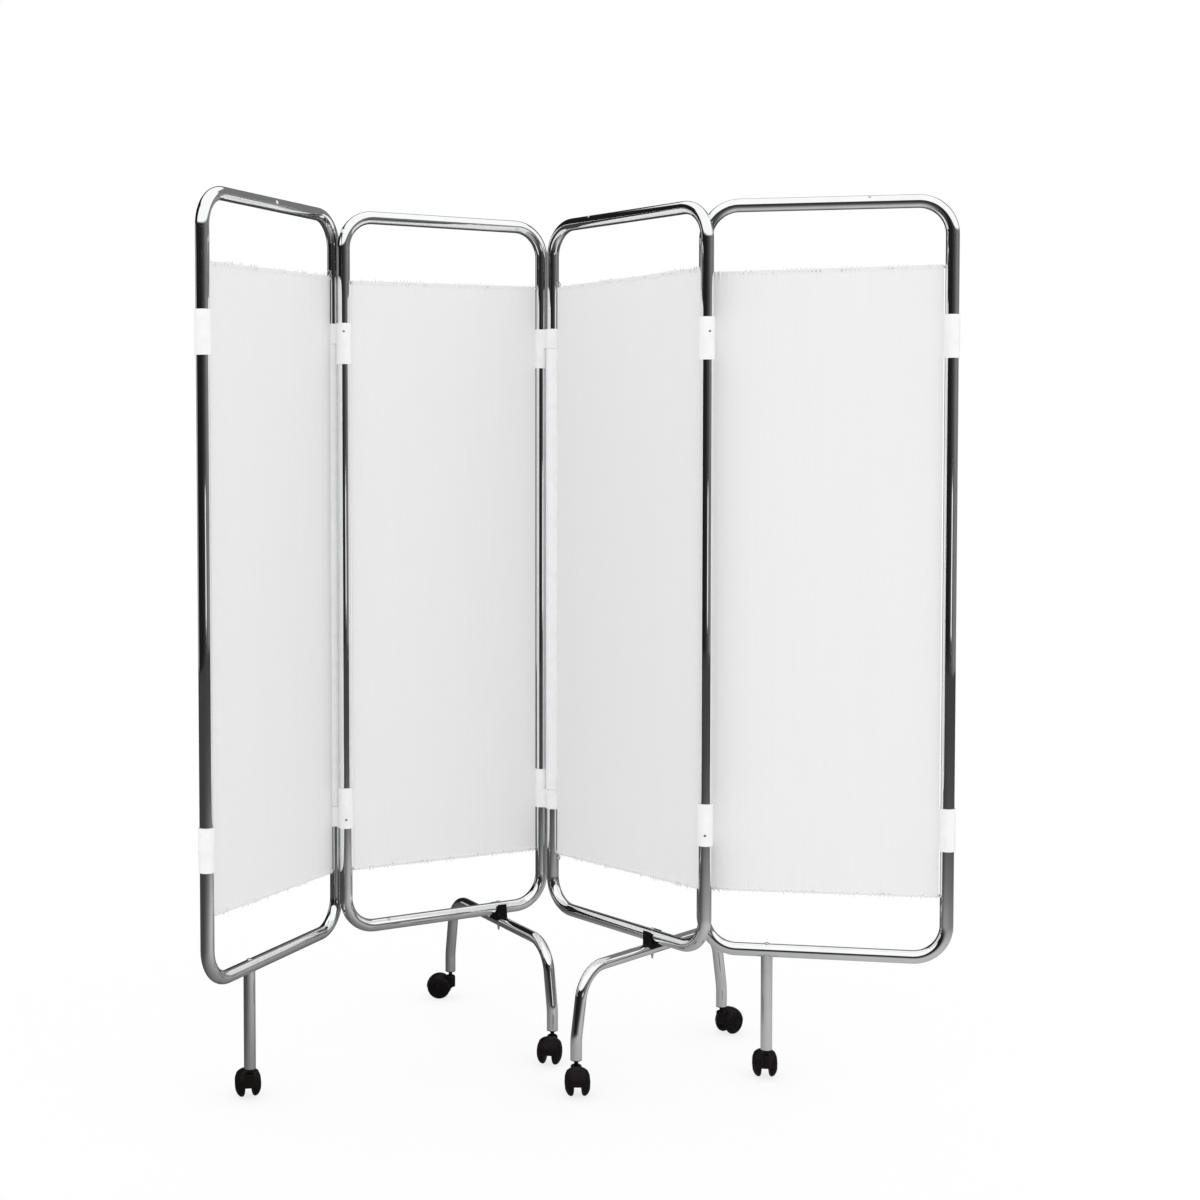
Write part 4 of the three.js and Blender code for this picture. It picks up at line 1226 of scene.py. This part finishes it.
def painted_reflection_wall_finish():
    """A painted reflection of a studio round the set, a glowing dome which only mirror rays meet: dark on the
    left, grey on the right and behind, with a narrow painted window highlight by the camera. Above comes
    painted white for the lamps, from lower down in front than behind. The slope is the height over the room's
    centre by the distance from the upright axis."""
    finish = Finish("painted_reflection_walls")
    across, away, up, level = flat_distance(finish)
    # Every tone here is painted reflection: the window is a painted highlight, and the white above is painted
    turn = (away.angle_from(across) / FULL_TURN + 1.0).fraction()
    stops = [(degrees / 360, (*grey(tone), 1.0)) for degrees, tone in PAINTED_REFLECTION_TONES]
    wall = finish.node("ShaderNodeValToRGB", {"stops": stops}, {"Fac": turn}).outputs["Color"]
    slope = (up - ROOM_CENTRE) / level
    painted_window = (turn.between(0.789, 0.793) * (1 - turn.between(0.829, 0.833))
              * slope.between(-0.11, -0.09) * (1 - slope.between(0.01, 0.03)))
    lit = finish.mixed(painted_window, wall, grey(0.95))
    behind = (away / level - 0.315 * across / level).between(-0.02, 0.12)
    back_tone = finish.mixed(turn.between(0.24, 0.28), grey(0.19), grey(0.012))
    lit = finish.mixed(behind * slope.between(0.20, 0.28), lit, back_tone)
    painted_ceiling = slope.between(0.27, 0.35) * (1 - behind) + slope.between(1.05, 1.20) * behind
    lit = finish.mixed(painted_ceiling, lit, grey(1.05))
    return painted_glow(finish, lit)


def painted_reflection_ground_finish():
    """A painted reflection of the ground, a glowing disc that only the chrome mirrors: grey near the screen,
    lighter to the front and the right, and dark farther away."""
    finish = Finish("painted_reflection_ground")
    across, away, _, distance = flat_distance(finish)
    near = (0.25 + 0.28 * across - 0.20 * away).larger(0.05)
    tone = near / (1 + (distance / 1.3) ** 4) + 0.05
    colour = finish.mixed(tone.clamped(), grey(0.0), grey(1.0))
    return painted_glow(finish, colour)


class WARD_OT_studio(bpy.types.Operator):
    """Makes the floor, the painted reflection of a studio, the lamps, the white background and the camera"""

    bl_idname = "ward.studio"
    bl_label = "Studio"

    def execute(self, context):
        studio = context.scene.ward_studio
        self.stage(studio)
        self.light(studio, context.scene)
        self.camera(studio, context.scene)
        return {"FINISHED"}

    def stage(self, studio):
        x, y = np.meshgrid(FLOOR_SPAN, FLOOR_SPAN, indexing="ij")
        floor = mesh_object("floor", [Grid(np.stack([x, y, 0 * x + FLOOR_LEVEL], axis=-1))],
                            [floor_finish(tuple(studio.floor))], solid=False)
        # The chrome mirrors the painted reflection of the ground, not the floor
        floor.visible_glossy = False
        # The dome and the disc glow with a painted reflection, seen only by mirror rays
        rise = np.linspace(-math.asin(ROOM_CENTRE / ROOM_RADIUS), math.pi / 2, 40)
        dome = ROOM_RADIUS * np.stack([np.cos(rise), np.sin(rise)], axis=-1) + np.array([0, ROOM_CENTRE])
        disc = [(0.0, GROUND_LEVEL), (ROOM_RADIUS, GROUND_LEVEL)]
        walls = mesh_object("painted_reflection_walls", [lathe(dome, 96)], [painted_reflection_wall_finish()], solid=False)
        ground = mesh_object("painted_reflection_ground", [lathe(disc, 96)], [painted_reflection_ground_finish()], solid=False)
        for mirrored in (walls, ground):
            for ray in ("camera", "diffuse", "transmission", "shadow", "volume_scatter"):
                setattr(mirrored, f"visible_{ray}", False)

    def light(self, studio, scene):
        scene.world = bpy.data.worlds.new("white_room")
        scene.world.use_nodes = True
        world = Nodes(scene.world.node_tree)
        room = world.node("ShaderNodeBackground", None, {"Color": WHITE, "Strength": studio.ambient})
        white = world.node("ShaderNodeBackground", None, {"Color": WHITE, "Strength": 1.0})
        mix = world.shaders_mixed(seen_rays(world), room, white)
        world.node("ShaderNodeOutputWorld", None, {"Surface": mix.outputs[0]})
        for name, power, place in (("key_lamp", studio.key_power, KEY_PLACE),
                                   ("fill_lamp", studio.fill_power, FILL_PLACE)):
            lamp = bpy.data.lights.new(name, "AREA")
            lamp.energy, lamp.size, lamp.shape = power, LAMP_SIZE, "SQUARE"
            holder = bpy.data.objects.new(name, lamp)
            scene.collection.objects.link(holder)
            aim = LAMP_AIM - np.array(place)
            holder.location = place
            holder.rotation_euler = (math.atan2(math.hypot(aim[0], aim[1]), -aim[2]), 0,
                                     math.atan2(aim[1], aim[0]) - math.pi / 2)
            holder.visible_glossy = False

    def camera(self, studio, scene):
        camera = bpy.data.cameras.new("camera")
        camera.lens = studio.lens
        camera.sensor_width = 36.0
        camera.shift_x, camera.shift_y = CAMERA_SHIFT
        holder = bpy.data.objects.new("camera", camera)
        scene.collection.objects.link(holder)
        tilt, roll = (math.radians(turn) for turn in (CAMERA_TILT, CAMERA_ROLL))
        holder.matrix_world = (Matrix.Translation(CAMERA_PLACE) @ Matrix.Rotation(tilt, 4, "X")
                               @ Matrix.Rotation(roll, 4, "Z"))
        scene.camera = holder
        scene.view_settings.view_transform = "Standard"


class WARD_PT_screen(bpy.types.Panel):
    """The ward screen's sizes and pieces"""

    bl_idname = "WARD_PT_screen"
    bl_label = "Ward screen"
    bl_space_type = "VIEW_3D"
    bl_region_type = "UI"
    bl_category = "Ward screen"

    def draw(self, context):
        for group in SETTINGS:
            box = self.layout.box()
            settings = getattr(context.scene, group)
            for name in settings.bl_rna.properties.keys():
                if name not in ("rna_type", "name"):
                    box.prop(settings, name)
        for operator in OPERATORS:
            self.layout.operator(operator.bl_idname)


SETTINGS = {
    "ward_frames": FrameSizes,
    "ward_clips": ClipSizes,
    "ward_curtains": CurtainSizes,
    "ward_castors": CastorSizes,
    "ward_studio": StudioSettings,
}
OPERATORS = (WARD_OT_frames, WARD_OT_clips, WARD_OT_curtains, WARD_OT_wires, WARD_OT_legs, WARD_OT_saddles,
             WARD_OT_castors, WARD_OT_studio)


def register():
    for name, group in SETTINGS.items():
        bpy.utils.register_class(group)
        setattr(bpy.types.Scene, name, bpy.props.PointerProperty(type=group))
    for made in (*OPERATORS, WARD_PT_screen):
        bpy.utils.register_class(made)


def unregister():
    for made in (WARD_PT_screen, *reversed(OPERATORS)):
        bpy.utils.unregister_class(made)
    for name, group in reversed(SETTINGS.items()):
        delattr(bpy.types.Scene, name)
        bpy.utils.unregister_class(group)


def main():
    register()
    bpy.ops.ward.frames()
    bpy.ops.ward.clips()
    bpy.ops.ward.curtains()
    bpy.ops.ward.wires()
    bpy.ops.ward.legs()
    bpy.ops.ward.saddles()
    bpy.ops.ward.castors()
    bpy.ops.ward.studio()


if __name__ == "__main__":
    main()
